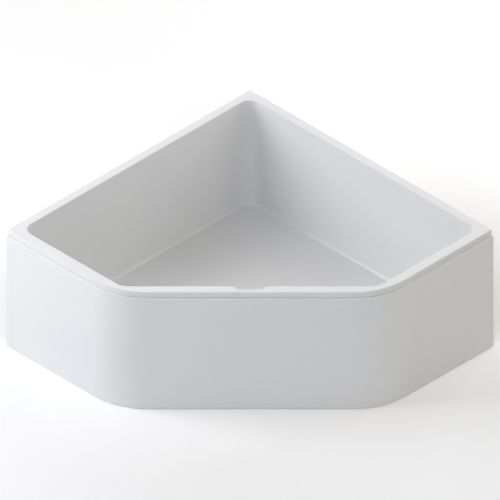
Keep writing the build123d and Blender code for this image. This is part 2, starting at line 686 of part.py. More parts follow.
def wall_brackets():
    """Angles under the rim for the screws into the wall."""
    top = SKIRT_BOTTOM - WALL_BRACKET_STEEL / 2
    inset = WALL_BRACKET_STEEL / 2
    line = [(inset, SKIRT_BOTTOM - WALL_BRACKET_DROP), (inset, top), (WALL_BRACKET_ARM, top)]
    angle = bent_strip(line, WALL_BRACKET_STEEL, WALL_BRACKET_BEND, WALL_BRACKET_WIDTH)
    wall_hole = Pos(0, inset, SKIRT_BOTTOM - WALL_HOLE_DROP) * Rot(90, 0, 0)
    angle -= wall_hole * Cylinder(WALL_HOLE_RADIUS, 2 * WALL_BRACKET_STEEL)
    angle -= Pos(0, WALL_BRACKET_SCREW_AT, 0) * screw_hole(SKIRT_BOTTOM, WALL_BRACKET_STEEL)
    places = (WALL_BRACKET_NEAR, WALL_BRACKET_FAR)
    return both_sides([LEFT_WALL * Pos(along, 0, 0) * angle for along in places])


def panel_clips():
    """Spring clips: a tab under the batten, a riser and a tongue that the panel's top flange rests on."""
    tab = SKIRT_BOTTOM - CLIP_STEEL / 2
    riser = CLIP_RISER + CLIP_STEEL / 2
    tongue = PANEL_TOP - PANEL_WALL - CLIP_GAP - CLIP_STEEL / 2
    line = [
        (ACRYLIC + BATTEN_WIDTH, tab),
        (riser, tab),
        (riser, tongue),
        (CLIP_RISER - CLIP_TONGUE, tongue),
        (CLIP_RISER - CLIP_TONGUE - CLIP_LIP, tongue - CLIP_LIP_DROP),
    ]
    clip = bent_strip(line, CLIP_STEEL, CLIP_BEND, CLIP_WIDTH)
    clip -= Pos(0, CLIP_SCREW_AT, 0) * screw_hole(SKIRT_BOTTOM, CLIP_STEEL)
    return both_sides([side * Pos(along, 0, 0) * clip for side, along in CLIP_SPOTS])


def magnet_brackets():
    """Angles under the base board that carry the magnets at the foot of the panel."""
    line_height = RAIL_TOP - MAGNET_BRACKET_STEEL / 2
    upright = MAGNET_BACK + MAGNET_BRACKET_STEEL / 2
    line = [
        (BOARD_OPEN_INSET + MAGNET_BRACKET_BITE, line_height),
        (upright, line_height),
        (upright, RAIL_TOP + MAGNET_BRACKET_RISE),
    ]
    angle = bent_strip(line, MAGNET_BRACKET_STEEL, MAGNET_BRACKET_BEND, MAGNET_BRACKET_WIDTH)
    for inset in magnet_screw_insets():
        angle -= Pos(0, inset, 0) * screw_hole(RAIL_TOP, MAGNET_BRACKET_STEEL)
    return both_sides([side * Pos(along, 0, 0) * angle for side, along in MAGNET_SPOTS])


def panel_magnets():
    """Round magnets on the brackets' uprights."""
    face = MAGNET_BACK - MAGNET_HEIGHT / 2
    magnet = Pos(0, face, MAGNET_LEVEL) * Rot(90, 0, 0) * Cylinder(MAGNET_RADIUS, MAGNET_HEIGHT)
    return both_sides([side * Pos(along, 0, 0) * magnet for side, along in MAGNET_SPOTS])


# Front panel


def front_panel():
    """One moulded skin round the open sides, with flanges turned in along its top, foot and ends."""
    outline = plan(0, -PANEL_PROUD, 0, RIM_FRONT_RADIUS + PANEL_PROUD)
    body = prism(outline, PANEL_FLOOR_GAP, PANEL_TOP)
    top_edges = body.faces().sort_by(Axis.Z)[-1].edges()
    body = fillet([edge for edge in top_edges if edge.center().X > REACH / 2], PANEL_TOP_EDGE)
    inside = plan(PANEL_WALL, PANEL_INSIDE, 0, RIM_FRONT_RADIUS - PANEL_INSIDE)
    body -= prism(inside, PANEL_FLOOR_GAP + PANEL_WALL, PANEL_TOP - PANEL_WALL)
    opening = plan(-PANEL_FLANGE, PANEL_INSET, 0, RIM_FRONT_RADIUS - PANEL_INSET)
    return body - prism(opening, PANEL_FLOOR_GAP, PANEL_TOP)


def strike_plates():
    """Steel plates bonded inside the panel, opposite the magnets."""
    half = STRIKE_PLATE_SIDE / 2
    plate = Box(STRIKE_PLATE_SIDE, STRIKE_PLATE_STEEL, STRIKE_PLATE_SIDE)
    plate = fillet(plate.edges().filter_by(Axis.Y), STRIKE_PLATE_CORNER)
    plate = Pos(0, PANEL_INSIDE + STRIKE_PLATE_STEEL / 2, MAGNET_LEVEL) * plate
    return both_sides([side * Pos(along, 0, 0) * plate for side, along in MAGNET_SPOTS])


# Waste fitting


def drain_flange():
    """The ring in the drain seat, with its threaded sleeve and the spoked web that holds the cartridge."""
    bore = WASTE_SLEEVE_RADIUS - WASTE_SLEEVE_WALL
    ring = rod(WASTE_RING_RADIUS, WASTE_RING_TOP - WASTE_RING_HEIGHT, WASTE_RING_TOP)
    ring = fillet(ring.edges().sort_by(Axis.Z)[-1], WASTE_RING_EDGE)
    body = ring + rod(WASTE_SLEEVE_RADIUS, WASTE_RING_TOP - WASTE_SLEEVE_LENGTH, WASTE_RING_TOP)
    body -= rod(bore, WASTE_RING_TOP - WASTE_SLEEVE_LENGTH, WASTE_RING_TOP)
    across = (bore + WASTE_SLEEVE_RADIUS) / 2
    half = WASTE_WEB_WIDTH / 2
    web_bottom = WASTE_WEB_TOP - WASTE_WEB_HEIGHT
    body += block(-across, across, -half, half, web_bottom, WASTE_WEB_TOP)
    body += block(-half, half, -across, across, web_bottom, WASTE_WEB_TOP)
    body += rod(WASTE_HUB_RADIUS, web_bottom, WASTE_WEB_TOP)
    return DRAIN * (body - rod(CARTRIDGE_RADIUS + THREAD_CLEARANCE, web_bottom, WASTE_WEB_TOP))


def drain_gasket_upper():
    """The ring between the drain flange and the seat."""
    outer = WASTE_RING_RADIUS - WASTE_GASKET_INSET
    return DRAIN * tube(outer, DRAIN_HOLE_RADIUS, DRAIN_SEAT, DRAIN_SEAT + WASTE_GASKET_UPPER)


def drain_gasket_lower():
    """The ring between the laminate and the waste body."""
    return DRAIN * tube(DRAIN_SEAT_RADIUS, DRAIN_HOLE_RADIUS, WASTE_BODY_TOP, DRAIN_SEAT - SHELL)


def drain_body():
    """The chamber under the floor, with its threaded collar, its neck and the overflow's side inlet."""
    flange_bottom = WASTE_BODY_TOP - WASTE_BODY_FLANGE_HEIGHT
    flange_radius = WASTE_BODY_RADIUS + WASTE_BODY_FLANGE
    inner = WASTE_BODY_RADIUS - WASTE_BODY_WALL
    neck_bore = WASTE_NECK_RADIUS - WASTE_NECK_WALL
    thread = WASTE_SLEEVE_RADIUS + THREAD_CLEARANCE
    outside = turned(
        (0, WASTE_NECK_BOTTOM),
        (WASTE_NECK_RADIUS, WASTE_NECK_BOTTOM),
        (WASTE_NECK_RADIUS, WASTE_BODY_BOTTOM),
        (WASTE_BODY_RADIUS, WASTE_BODY_BOTTOM + WASTE_CONE_HEIGHT),
        (WASTE_BODY_RADIUS, flange_bottom),
        (flange_radius, flange_bottom),
        (flange_radius, WASTE_BODY_TOP),
        (0, WASTE_BODY_TOP),
    )
    inside = turned(
        (0, WASTE_NECK_BOTTOM),
        (neck_bore, WASTE_NECK_BOTTOM),
        (neck_bore, WASTE_BODY_BOTTOM + WASTE_BODY_WALL),
        (inner, WASTE_BODY_BOTTOM + WASTE_BODY_WALL + WASTE_CONE_HEIGHT),
        (inner, WASTE_BODY_TOP - WASTE_BODY_COLLAR),
        (thread, WASTE_BODY_TOP - WASTE_BODY_COLLAR),
        (thread, WASTE_BODY_TOP),
        (0, WASTE_BODY_TOP),
    )
    side = Pos(0, 0, WASTE_STUB_AXIS) * Rot(0, 90, 0)
    root = WASTE_NECK_RADIUS - WASTE_NECK_WALL / 2
    body = outside + side * rod(SOCKET_RADIUS, root, WASTE_STUB_END)
    body -= inside + side * rod(SOCKET_BORE, root, WASTE_STUB_END)
    return DRAIN * (body - side * rod(PIPE_FIT, WASTE_STUB_END - SOCKET_DEPTH, WASTE_STUB_END))


def click_cartridge():
    """The cylinder in the web's hub that guides the plug's stem and holds its latch."""
    bottom = CARTRIDGE_TOP - CARTRIDGE_LENGTH
    collar = rod(WASTE_HUB_RADIUS - WASTE_RING_EDGE, WASTE_WEB_TOP, WASTE_WEB_TOP + CARTRIDGE_COLLAR)
    body = rod(CARTRIDGE_RADIUS, bottom, CARTRIDGE_TOP) + collar
    bore = rod(PLUG_STEM_RADIUS + RUNNING_CLEARANCE, bottom + CARTRIDGE_FLOOR, CARTRIDGE_TOP)
    return DRAIN * (body - bore)


def waste_plug():
    """The domed cap over the drain, with a boss for its stem."""
    edge_top = PLUG_BOTTOM + PLUG_EDGE
    crown = PLUG_BOTTOM + PLUG_DOME
    outline = [
        Line((0, PLUG_BOTTOM), (PLUG_RADIUS, PLUG_BOTTOM)),
        Line((PLUG_RADIUS, PLUG_BOTTOM), (PLUG_RADIUS, edge_top)),
        ThreePointArc((PLUG_RADIUS, edge_top), plug_shoulder(edge_top, crown), (0, crown)),
        Line((0, crown), (0, PLUG_BOTTOM)),
    ]
    cap = revolve(Plane.XZ * make_face(outline), axis=Axis.Z)
    boss_bottom = PLUG_BOTTOM - PLUG_BOSS_DEPTH
    boss = rod(PLUG_STEM_RADIUS + PLUG_BOSS_WALL, boss_bottom, PLUG_BOTTOM)
    socket = rod(PLUG_STEM_RADIUS + THREAD_CLEARANCE, boss_bottom, boss_bottom + PLUG_STEM_GRIP)
    return DRAIN * (cap + boss - socket)


def plug_shoulder(edge_top, crown):
    """The point half way along the dome's arc, which is level at the crown."""
    rise = crown - edge_top
    dome_radius = (PLUG_RADIUS**2 + rise**2) / (2 * rise)
    across = PLUG_RADIUS / 2
    return (across, crown - dome_radius + sqrt(dome_radius**2 - across**2))


def plug_seal():
    """The rubber washer under the plug."""
    outer = WASTE_SLEEVE_RADIUS + PLUG_SEAL_LAP
    return DRAIN * tube(outer, outer - PLUG_SEAL_WIDTH, PLUG_BOTTOM - PLUG_SEAL_HEIGHT, PLUG_BOTTOM)


def plug_stem():
    """The pin that slides in the cartridge."""
    top = PLUG_BOTTOM - PLUG_BOSS_DEPTH + PLUG_STEM_GRIP
    return DRAIN * rod(PLUG_STEM_RADIUS, top - PLUG_STEM_LENGTH, top)


# Overflow fitting, on the seat's own axis: the basin is at +Z, the back of the wall at -Z


def overflow_cover():
    """A shallow cup over the hole, open at its lower edge."""
    body = rod(OVERFLOW_COVER_RADIUS, 0, OVERFLOW_COVER_DEPTH)
    body = fillet(body.edges().sort_by(Axis.Z)[-1], OVERFLOW_COVER_EDGE)
    body -= rod(OVERFLOW_COVER_RADIUS - OVERFLOW_COVER_WALL, 0, OVERFLOW_COVER_DEPTH - OVERFLOW_COVER_WALL)
    half = OVERFLOW_SLOT_WIDTH / 2
    body -= block(-half, half, 0, OVERFLOW_COVER_RADIUS, 0, OVERFLOW_SLOT_HEIGHT)
    body += rod(OVERFLOW_HUB_RADIUS, 0, OVERFLOW_COVER_DEPTH)
    return OVERFLOW_SEAT * (body - rod(OVERFLOW_SCREW_RADIUS + SCREW_CLEARANCE, 0, OVERFLOW_COVER_DEPTH))


def overflow_screw():
    """The machine screw that pulls the cover and the body together."""
    top = OVERFLOW_COVER_DEPTH
    head = rod(OVERFLOW_HUB_RADIUS, top, top + OVERFLOW_SCREW_HEAD)
    return OVERFLOW_SEAT * (head + rod(OVERFLOW_SCREW_RADIUS, OVERFLOW_FACE - OVERFLOW_SCREW_BITE, top))


def overflow_gasket():
    """The ring between the laminate and the overflow body."""
    outer = OVERFLOW_HOLE_RADIUS + OVERFLOW_GASKET_LAP
    return OVERFLOW_SEAT * tube(outer, OVERFLOW_HOLE_RADIUS, OVERFLOW_FACE, -SHELL)


def overflow_body():
    """The flanged chamber behind the niche, with a socket for the pipe below it."""
    back = OVERFLOW_FACE - OVERFLOW_BODY_DEPTH
    flange_back = OVERFLOW_FACE - OVERFLOW_FLANGE_HEIGHT
    flange_radius = OVERFLOW_HOLE_RADIUS + OVERFLOW_FLANGE_LAP
    body = OVERFLOW_SEAT * rod(flange_radius, flange_back, OVERFLOW_FACE)
    body += OVERFLOW_SEAT * rod(OVERFLOW_BODY_RADIUS, back, flange_back)
    socket = Pos(RISER_AT, 0, 0)
    shoulder = HEIGHT - OVERFLOW_DROP - OVERFLOW_BODY_RADIUS
    dome = Pos(0, 0, shoulder)
    body += socket * (rod(SOCKET_RADIUS, RISER_SOCKET, shoulder) + dome * Sphere(SOCKET_RADIUS))
    reach = 2 * flange_radius
    body -= OVERFLOW_SEAT * block(-reach, reach, -reach, reach, OVERFLOW_FACE, OVERFLOW_FACE + reach)
    inner = OVERFLOW_BODY_RADIUS - OVERFLOW_BODY_WALL
    body -= OVERFLOW_SEAT * rod(inner, back + OVERFLOW_BODY_WALL, flange_back)
    body -= OVERFLOW_SEAT * rod(OVERFLOW_HOLE_RADIUS, flange_back, OVERFLOW_FACE)
    body -= socket * (rod(SOCKET_BORE, RISER_SOCKET, shoulder) + dome * Sphere(SOCKET_BORE))
    body -= socket * rod(PIPE_FIT, RISER_SOCKET, RISER_SOCKET + SOCKET_DEPTH)
    body += OVERFLOW_SEAT * rod(OVERFLOW_HUB_RADIUS, back, OVERFLOW_FACE)
    screw_end = OVERFLOW_FACE - OVERFLOW_SCREW_BITE - PIPE_END_GAP
    return body - OVERFLOW_SEAT * rod(OVERFLOW_SCREW_RADIUS + SCREW_CLEARANCE, screw_end, OVERFLOW_FACE)


# Overflow pipework


def overflow_riser_pipe():
    """The upright pipe between the overflow body and the elbow."""
    bottom = ELBOW_TOP - SOCKET_DEPTH + PIPE_END_GAP
    top = RISER_SOCKET + SOCKET_DEPTH - PIPE_END_GAP
    return Pos(RISER_AT, 0, 0) * tube(PIPE_RADIUS, PIPE_RADIUS - PIPE_WALL, bottom, top)


def overflow_cross_pipe():
    """The level pipe between the elbow and the waste body."""
    start = DRAIN_AT + WASTE_STUB_END - SOCKET_DEPTH + PIPE_END_GAP
    end = ELBOW_SIDE + SOCKET_DEPTH - PIPE_END_GAP
    pipe = tube(PIPE_RADIUS, PIPE_RADIUS - PIPE_WALL, start, end)
    return Pos(0, 0, WASTE_STUB_AXIS) * Rot(0, 90, 0) * pipe


def overflow_elbow():
    """The bend at the foot of the riser, with a socket at each end."""
    points = [(RISER_AT, 0, ELBOW_TOP), (RISER_AT, 0, WASTE_STUB_AXIS), (ELBOW_SIDE, 0, WASTE_STUB_AXIS)]
    line = FilletPolyline(*points, radius=ELBOW_BEND)
    start = Plane(origin=line @ 0, z_dir=line % 0)
    body = sweep(start * Circle(SOCKET_RADIUS), path=line) - sweep(start * Circle(SOCKET_BORE), path=line)
    for place in (ELBOW_TOP_JOINT, ELBOW_SIDE_JOINT):
        body -= place * rod(PIPE_FIT, -SOCKET_DEPTH, 0)
    return body


def pipe_nuts():
    """Compression nuts over the socket ends: each grips a socket and closes on the pipe with its lip."""
    lip = PIPE_SEAL
    flats = 2 * (SOCKET_RADIUS + THREAD_CLEARANCE + PIPE_NUT_WALL)
    nut = many_sided(flats, NUT_SIDES, -PIPE_NUT_GRIP, lip + PIPE_NUT_LIP)
    nut -= rod(SOCKET_RADIUS + THREAD_CLEARANCE, -PIPE_NUT_GRIP, lip)
    nut -= rod(PIPE_RADIUS + NUT_LIP_GAP, lip, lip + PIPE_NUT_LIP)
    return [place * nut for place in PIPE_JOINTS]


def pipe_seals():
    """The rubber rings between each socket's end and its nut."""
    return [place * tube(SOCKET_RADIUS, PIPE_FIT, 0, PIPE_SEAL) for place in PIPE_JOINTS]


# Trap and outlet, with the outlet along +X until TRAP turns it


def trap_gasket():
    """The ring between the waste body's neck and the trap."""
    bore = WASTE_NECK_RADIUS - WASTE_NECK_WALL
    return TRAP * tube(WASTE_NECK_RADIUS, bore, TRAP_FLANGE_TOP, WASTE_NECK_BOTTOM)


def trap_nut():
    """The nut that pulls the trap's flange up against the neck."""
    bottom = TRAP_FLANGE_BOTTOM - TRAP_NUT_LIP
    top = WASTE_NECK_BOTTOM + TRAP_NUT_GRIP
    bore = WASTE_NECK_RADIUS + THREAD_CLEARANCE
    nut = many_sided(2 * (bore + TRAP_NUT_WALL), NUT_SIDES, bottom, top)
    nut -= rod(bore, TRAP_FLANGE_BOTTOM, top)
    return TRAP * (nut - rod(TRAP_INLET_RADIUS + NUT_LIP_GAP, bottom, TRAP_FLANGE_BOTTOM))


def trap_body():
    """A low pot with a dip tube and a weir that keep water in it, and the outlet's socket."""
    dip_bore = TRAP_INLET_RADIUS - TRAP_WALL
    pot_floor = TRAP_BOTTOM + TRAP_WALL
    dip_end = pot_floor + TRAP_DIP_GAP
    inner = TRAP_RADIUS - TRAP_WALL
    pot = rod(TRAP_RADIUS, TRAP_BOTTOM, TRAP_TOP)
    pot = fillet(pot.edges(), TRAP_EDGE)
    hollow_pot = rod(inner, pot_floor, TRAP_TOP - TRAP_WALL)
    outlet = Pos(0, 0, OUTLET_AXIS) * Rot(0, 90, 0)
    inlet = rod(TRAP_INLET_RADIUS, dip_end, TRAP_FLANGE_TOP)
    inlet += rod(WASTE_NECK_RADIUS, TRAP_FLANGE_BOTTOM, TRAP_FLANGE_TOP)
    weir_top = pot_floor + TRAP_WEIR_HEIGHT
    weir_at = TRAP_INLET_RADIUS + TRAP_WEIR_GAP
    weir = block(weir_at, weir_at + TRAP_WALL, -inner, inner, pot_floor, weir_top)
    body = pot + outlet * rod(OUTLET_SOCKET_RADIUS, inner - TRAP_EDGE, OUTLET_SOCKET_END) - hollow_pot
    body -= outlet * rod(OUTLET_RADIUS - OUTLET_WALL, weir_at + TRAP_WALL, OUTLET_SOCKET_END)
    body -= outlet * rod(OUTLET_FIT, OUTLET_SOCKET_END - OUTLET_SOCKET_DEPTH, OUTLET_SOCKET_END)
    body += inlet + (weir & hollow_pot)
    return TRAP * (body - rod(dip_bore, dip_end, TRAP_FLANGE_TOP))


def outlet_nut():
    """The nut over the outlet's socket."""
    bore = OUTLET_SOCKET_RADIUS + THREAD_CLEARANCE
    lip = PIPE_SEAL
    nut = many_sided(2 * (bore + OUTLET_NUT_WALL), NUT_SIDES, -PIPE_NUT_GRIP, lip + PIPE_NUT_LIP)
    nut -= rod(bore, -PIPE_NUT_GRIP, lip)
    return OUTLET_JOINT * (nut - rod(OUTLET_RADIUS + NUT_LIP_GAP, lip, lip + PIPE_NUT_LIP))


def outlet_seal():
    """The rubber ring under the outlet's nut."""
    return OUTLET_JOINT * tube(OUTLET_SOCKET_RADIUS, OUTLET_FIT, 0, PIPE_SEAL)


def outlet_pipe():
    """The pipe that leads the water away, with a bead that stops the socket of the house's drain."""
    start = PIPE_END_GAP - OUTLET_SOCKET_DEPTH
    end = start + OUTLET_LENGTH
    bead = end - OUTLET_FREE_LENGTH
    body = rod(OUTLET_RADIUS, start, end)
    body += rod(OUTLET_RADIUS + OUTLET_BEAD_HEIGHT, bead - OUTLET_BEAD_WIDTH, bead)
    return OUTLET_JOINT * (body - rod(OUTLET_RADIUS - OUTLET_WALL, start, end))


# Build

os.makedirs("parts", exist_ok=True)

write("tub_shell", tub_shell())
write("fibreglass_backing", fibreglass_backing())
wall_strip, return_strip, front_strip = rim_battens()
write("rim_battens_wall", *both_sides([wall_strip]))
write("rim_battens_return", *both_sides([return_strip]))
write("rim_battens_front", *both_sides([front_strip]))
write("base_board", base_board())

for name in RAILS:
    write(f"leg_rail_{name}", leg_rail(name))
for name, place in foot_places().items():
    write(f"foot_stud_{name}", foot_stud(place))
    write(f"foot_pad_{name}", foot_pad(place))
write("rail_nuts", *foot_nuts(RAIL_BOTTOM, WELD_NUT_HEIGHT))
write("foot_lock_nuts", *foot_nuts(RAIL_BOTTOM - RAIL_WALL - LOCK_NUT_HEIGHT, LOCK_NUT_HEIGHT))

write("timber_screws", *timber_screws())
write("wall_brackets", *wall_brackets())
write("panel_clips", *panel_clips())
write("magnet_brackets", *magnet_brackets())
write("panel_magnets", *panel_magnets())
write("front_panel", front_panel())
write("strike_plates", *strike_plates())

write("drain_flange", drain_flange())
write("drain_gasket_upper", drain_gasket_upper())
write("drain_gasket_lower", drain_gasket_lower())
write("drain_body", drain_body())
write("click_cartridge", click_cartridge())
write("waste_plug", waste_plug())
write("plug_seal", plug_seal())
write("plug_stem", plug_stem())

write("overflow_cover", overflow_cover())
write("overflow_screw", overflow_screw())
write("overflow_gasket", overflow_gasket())
write("overflow_body", overflow_body())
write("overflow_riser_pipe", overflow_riser_pipe())
write("overflow_cross_pipe", overflow_cross_pipe())
write("overflow_elbow", overflow_elbow())
write("pipe_nuts", *pipe_nuts())
write("pipe_seals", *pipe_seals())

write("trap_gasket", trap_gasket())
write("trap_nut", trap_nut())
write("trap_body", trap_body())
write("outlet_nut", outlet_nut())
write("outlet_seal", outlet_seal())
write("outlet_pipe", outlet_pipe())
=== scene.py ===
from math import cos, pi, radians, sin, sqrt

import bmesh
import bpy
from mathutils import Matrix, Vector


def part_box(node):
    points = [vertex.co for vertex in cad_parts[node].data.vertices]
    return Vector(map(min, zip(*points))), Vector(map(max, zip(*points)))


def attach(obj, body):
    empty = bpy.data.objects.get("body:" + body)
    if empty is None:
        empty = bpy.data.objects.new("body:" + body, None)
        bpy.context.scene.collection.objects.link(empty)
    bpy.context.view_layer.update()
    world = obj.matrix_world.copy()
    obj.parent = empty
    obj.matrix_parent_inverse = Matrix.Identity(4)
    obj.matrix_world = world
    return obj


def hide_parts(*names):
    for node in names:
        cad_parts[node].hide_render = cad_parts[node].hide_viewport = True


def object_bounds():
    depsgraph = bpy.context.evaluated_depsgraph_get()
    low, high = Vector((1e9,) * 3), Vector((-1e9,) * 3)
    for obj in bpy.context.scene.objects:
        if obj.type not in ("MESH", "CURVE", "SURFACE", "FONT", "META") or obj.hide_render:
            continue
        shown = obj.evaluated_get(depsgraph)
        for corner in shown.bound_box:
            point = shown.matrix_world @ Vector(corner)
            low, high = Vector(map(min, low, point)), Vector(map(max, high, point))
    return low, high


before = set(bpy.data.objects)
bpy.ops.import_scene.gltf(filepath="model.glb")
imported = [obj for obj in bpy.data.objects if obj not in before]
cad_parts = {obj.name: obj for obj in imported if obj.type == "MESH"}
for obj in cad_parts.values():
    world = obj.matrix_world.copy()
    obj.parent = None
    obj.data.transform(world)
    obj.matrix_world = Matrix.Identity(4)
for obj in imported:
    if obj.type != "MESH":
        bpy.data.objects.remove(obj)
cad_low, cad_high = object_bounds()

# Camera
# The photograph is an isometric view with no perspective: 45 degrees round from both walls and 35.264 down.
# Its 500 pixels are 4.093 mm each, and its middle falls on the rim's level in front of the back corner.
PICTURE_WIDTH = 2.0465
PICTURE_MIDDLE = Vector((0.0981, -0.0981, 0.580))
CAMERA_REACH = 2.4

camera_data = bpy.data.cameras.new("photo_camera")
camera_data.type = "ORTHO"
camera_data.ortho_scale = PICTURE_WIDTH
camera = bpy.data.objects.new("photo_camera", camera_data)
bpy.context.scene.collection.objects.link(camera)
camera.rotation_euler = (radians(90 - 35.264), 0, radians(45))
camera.location = PICTURE_MIDDLE + Vector((1, -1, 1)) * CAMERA_REACH
bpy.context.scene.camera = camera

# Studio
# A plain white floor under wide soft lamps. The strongest stands on the photograph's left and the next above
# the camera, so the sides that face left are bright and the ones that face right are grey.
FLOOR_SIDE = 30
LAMP_TARGET = Vector((0, 0, 0.3))

bpy.context.scene.view_settings.view_transform = "Standard"
bpy.ops.object.select_all(action="DESELECT")
bpy.ops.mesh.primitive_plane_add(size=FLOOR_SIDE)
floor = bpy.context.object
floor.name = "studio_floor"
bpy.ops.object.mode_set(mode="EDIT")
bpy.ops.mesh.subdivide(number_cuts=3)
bpy.ops.object.mode_set(mode="OBJECT")

floor_finish = bpy.data.materials.new("studio_floor")
floor_finish.use_nodes = True
floor_shader = floor_finish.node_tree.nodes["Principled BSDF"]
floor_shader.inputs["Base Color"].default_value = (0.93, 0.93, 0.93, 1)
floor_shader.inputs["Roughness"].default_value = 0.9
floor_shader.inputs["Specular IOR Level"].default_value = 0.1
floor_shader.inputs["Emission Color"].default_value = (1, 0.913, 0.663, 1)
floor_shader.inputs["Emission Strength"].default_value = 0.04
floor.data.materials.append(floor_finish)


def lamp(name, size, strength, colour, place):
    """A square soft lamp that looks at the middle of the bath."""
    data = bpy.data.lights.new(name, "AREA")
    data.shape = "SQUARE"
    data.size = size
    data.energy = strength
    data.color = colour
    light = bpy.data.objects.new(name, data)
    bpy.context.scene.collection.objects.link(light)
    light.location = place
    light.rotation_euler = (LAMP_TARGET - Vector(place)).to_track_quat("-Z", "Y").to_euler()


lamp("left", 3.0, 162, (0.954, 0.956, 1), (-3.2, -3.2, 2.5))
lamp("high_left", 2.5, 41, (0.872, 0.893, 1), (-2.2, -2.2, 4.2))
lamp("back", 3.0, 59, (1, 0.983, 0.927), (-3.2, 3.2, 3.0))
lamp("behind_left", 3.0, 22, (0.981, 1, 0.937), (-4.5, 0, 2.0))
lamp("behind_right", 3.0, 114, (0.896, 0.926, 1), (0, 4.5, 2.0))
lamp("right", 3.0, 32, (1, 0.914, 0.754), (3.2, 3.2, 2.5))
lamp("high_right", 2.5, 27, (1, 0.928, 0.772), (2.2, 2.2, 4.2))
lamp("over_camera", 2.5, 73, (0.956, 0.966, 1), (2.2, -2.2, 4.2))
lamp("by_camera", 2.4, 45, (0.9, 0.936, 1), (3.8, -3.8, 1.4))

# The studio's pale walls are seen, and mirrored in metal, but throw no light of their own.
walls = bpy.data.worlds.new("pale_walls")
walls.use_nodes = True
bpy.context.scene.world = walls
wall_light = walls.node_tree.nodes["Background"]
ray = walls.node_tree.nodes.new("ShaderNodeLightPath")
seen = walls.node_tree.nodes.new("ShaderNodeMath")
seen.operation = "SUBTRACT"
seen.use_clamp = True
seen.inputs[0].default_value = 0.85
walls.node_tree.links.new(ray.outputs["Is Diffuse Ray"], seen.inputs[1])
walls.node_tree.links.new(seen.outputs["Value"], wall_light.inputs["Strength"])
wall_light.inputs["Color"].default_value = (1, 1, 1, 1)


# Tub shell
# One sheet of white cast acrylic, drawn over a mould while hot, with a soft gloss and a faint ripple.
# It is the CAD's own shape.
def finish(name, metallic, rough_low, rough_high, rough_scale):
    """A new material whose roughness wanders between two values, and what its other nodes hang on."""
    material = bpy.data.materials.new(name)
    material.use_nodes = True
    tree = material.node_tree
    shader = tree.nodes["Principled BSDF"]
    shader.inputs["Metallic"].default_value = metallic
    place = tree.nodes.new("ShaderNodeTexCoord").outputs["Object"]
    spread = tree.nodes.new("ShaderNodeMapRange")
    spread.inputs["From Min"].default_value = 0.3
    spread.inputs["From Max"].default_value = 0.7
    spread.inputs["To Min"].default_value = rough_low
    spread.inputs["To Max"].default_value = rough_high
    tree.links.new(noise(tree, place, rough_scale, 4), spread.inputs["Value"])
    tree.links.new(spread.outputs["Result"], shader.inputs["Roughness"])
    return material, tree, shader, place


def noise(tree, place, scale, detail):
    """A cloudy pattern, of so many features to the metre."""
    node = tree.nodes.new("ShaderNodeTexNoise")
    node.inputs["Scale"].default_value = scale
    node.inputs["Detail"].default_value = detail
    tree.links.new(place, node.inputs["Vector"])
    return node.outputs["Fac"]


def ramp(tree, value, *stops):
    """Colours along a value."""
    node = tree.nodes.new("ShaderNodeValToRGB")
    elements = node.color_ramp.elements
    while len(elements) < len(stops):
        elements.new(0.5)
    for element, (position, colour) in zip(elements, stops):
        element.position = position
        element.color = (*colour, 1)
    tree.links.new(value, node.inputs["Fac"])
    return node.outputs["Color"]


def tint(tree, shader, place, scale, first, second):
    """A base colour that drifts between two, so many times to the metre."""
    colour = ramp(tree, noise(tree, place, scale, 3), (0.35, first), (0.65, second))
    tree.links.new(colour, shader.inputs["Base Color"])


def relief(tree, shader, height, depth, strength):
    """Bumps of so many metres."""
    node = tree.nodes.new("ShaderNodeBump")
    node.inputs["Distance"].default_value = depth
    node.inputs["Strength"].default_value = strength
    tree.links.new(height, node.inputs["Height"])
    tree.links.new(node.outputs["Normal"], shader.inputs["Normal"])


def dress(material, *nodes):
    """Gives a finish to CAD nodes."""
    for node in nodes:
        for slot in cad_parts[node].material_slots:
            slot.material = material


white_acrylic, tree, shader, place = finish("white_acrylic", 0, 0.36, 0.46, 4)
tint(tree, shader, place, 2.5, (0.713, 0.716, 0.720), (0.727, 0.727, 0.725))
relief(tree, shader, noise(tree, place, 60, 2), 0.0004, 0.25)
dress(white_acrylic, "tub_shell")


# Laminate
# Chopped glass fibre in polyester resin, sprayed on the back of the acrylic and rolled down. Its strands lie
# every way, and a thick bead of the same resin ties the base board to the floor.
RESIN_BEAD = 0.0032
RESIN_STEP = 0.008
RESIN_LUMP = 0.0011
BOARD_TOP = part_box("base_board")[1].z
STUD_HOLE_NEAR, STUD_HOLE_FAR = 0.004, 0.008
STRAND_FEATURES = (28, 420, 420)
STRAND_TURNS = ((0, 0, 0), (0, 35, 40), (0, -40, 85), (0, 70, 130), (50, 90, 20), (20, -65, 165))
CLOSE = 0.0001
TOUCHING = 0.00001


def stretched(tree, place, turn, features):
    """A place that is turned, and drawn out to so many features to the metre along each axis."""
    node = tree.nodes.new("ShaderNodeMapping")
    node.inputs["Rotation"].default_value = [radians(angle) for angle in turn]
    node.inputs["Scale"].default_value = features
    tree.links.new(place, node.inputs["Vector"])
    return node.outputs["Vector"]


def joined(tree, operation, first, second):
    """One value from two: their MAXIMUM, their sum or their product."""
    node = tree.nodes.new("ShaderNodeMath")
    node.operation = operation
    for socket, value in zip(node.inputs, (first, second)):
        tree.links.new(value, socket)
    return node.outputs["Value"]


def mixed(tree, share, first, second):
    """The first colour where the share is 0 and the second where it is 1."""
    node = tree.nodes.new("ShaderNodeMixRGB")
    tree.links.new(share, node.inputs["Fac"])
    tree.links.new(first, node.inputs["Color1"])
    tree.links.new(second, node.inputs["Color2"])
    return node.outputs["Color"]


def deselect():
    bpy.ops.object.select_all(action="DESELECT")


def choose(*pieces):
    """Selects these pieces alone, with the first one active."""
    deselect()
    for piece in pieces:
        piece.select_set(True)
    bpy.context.view_layer.objects.active = pieces[0]


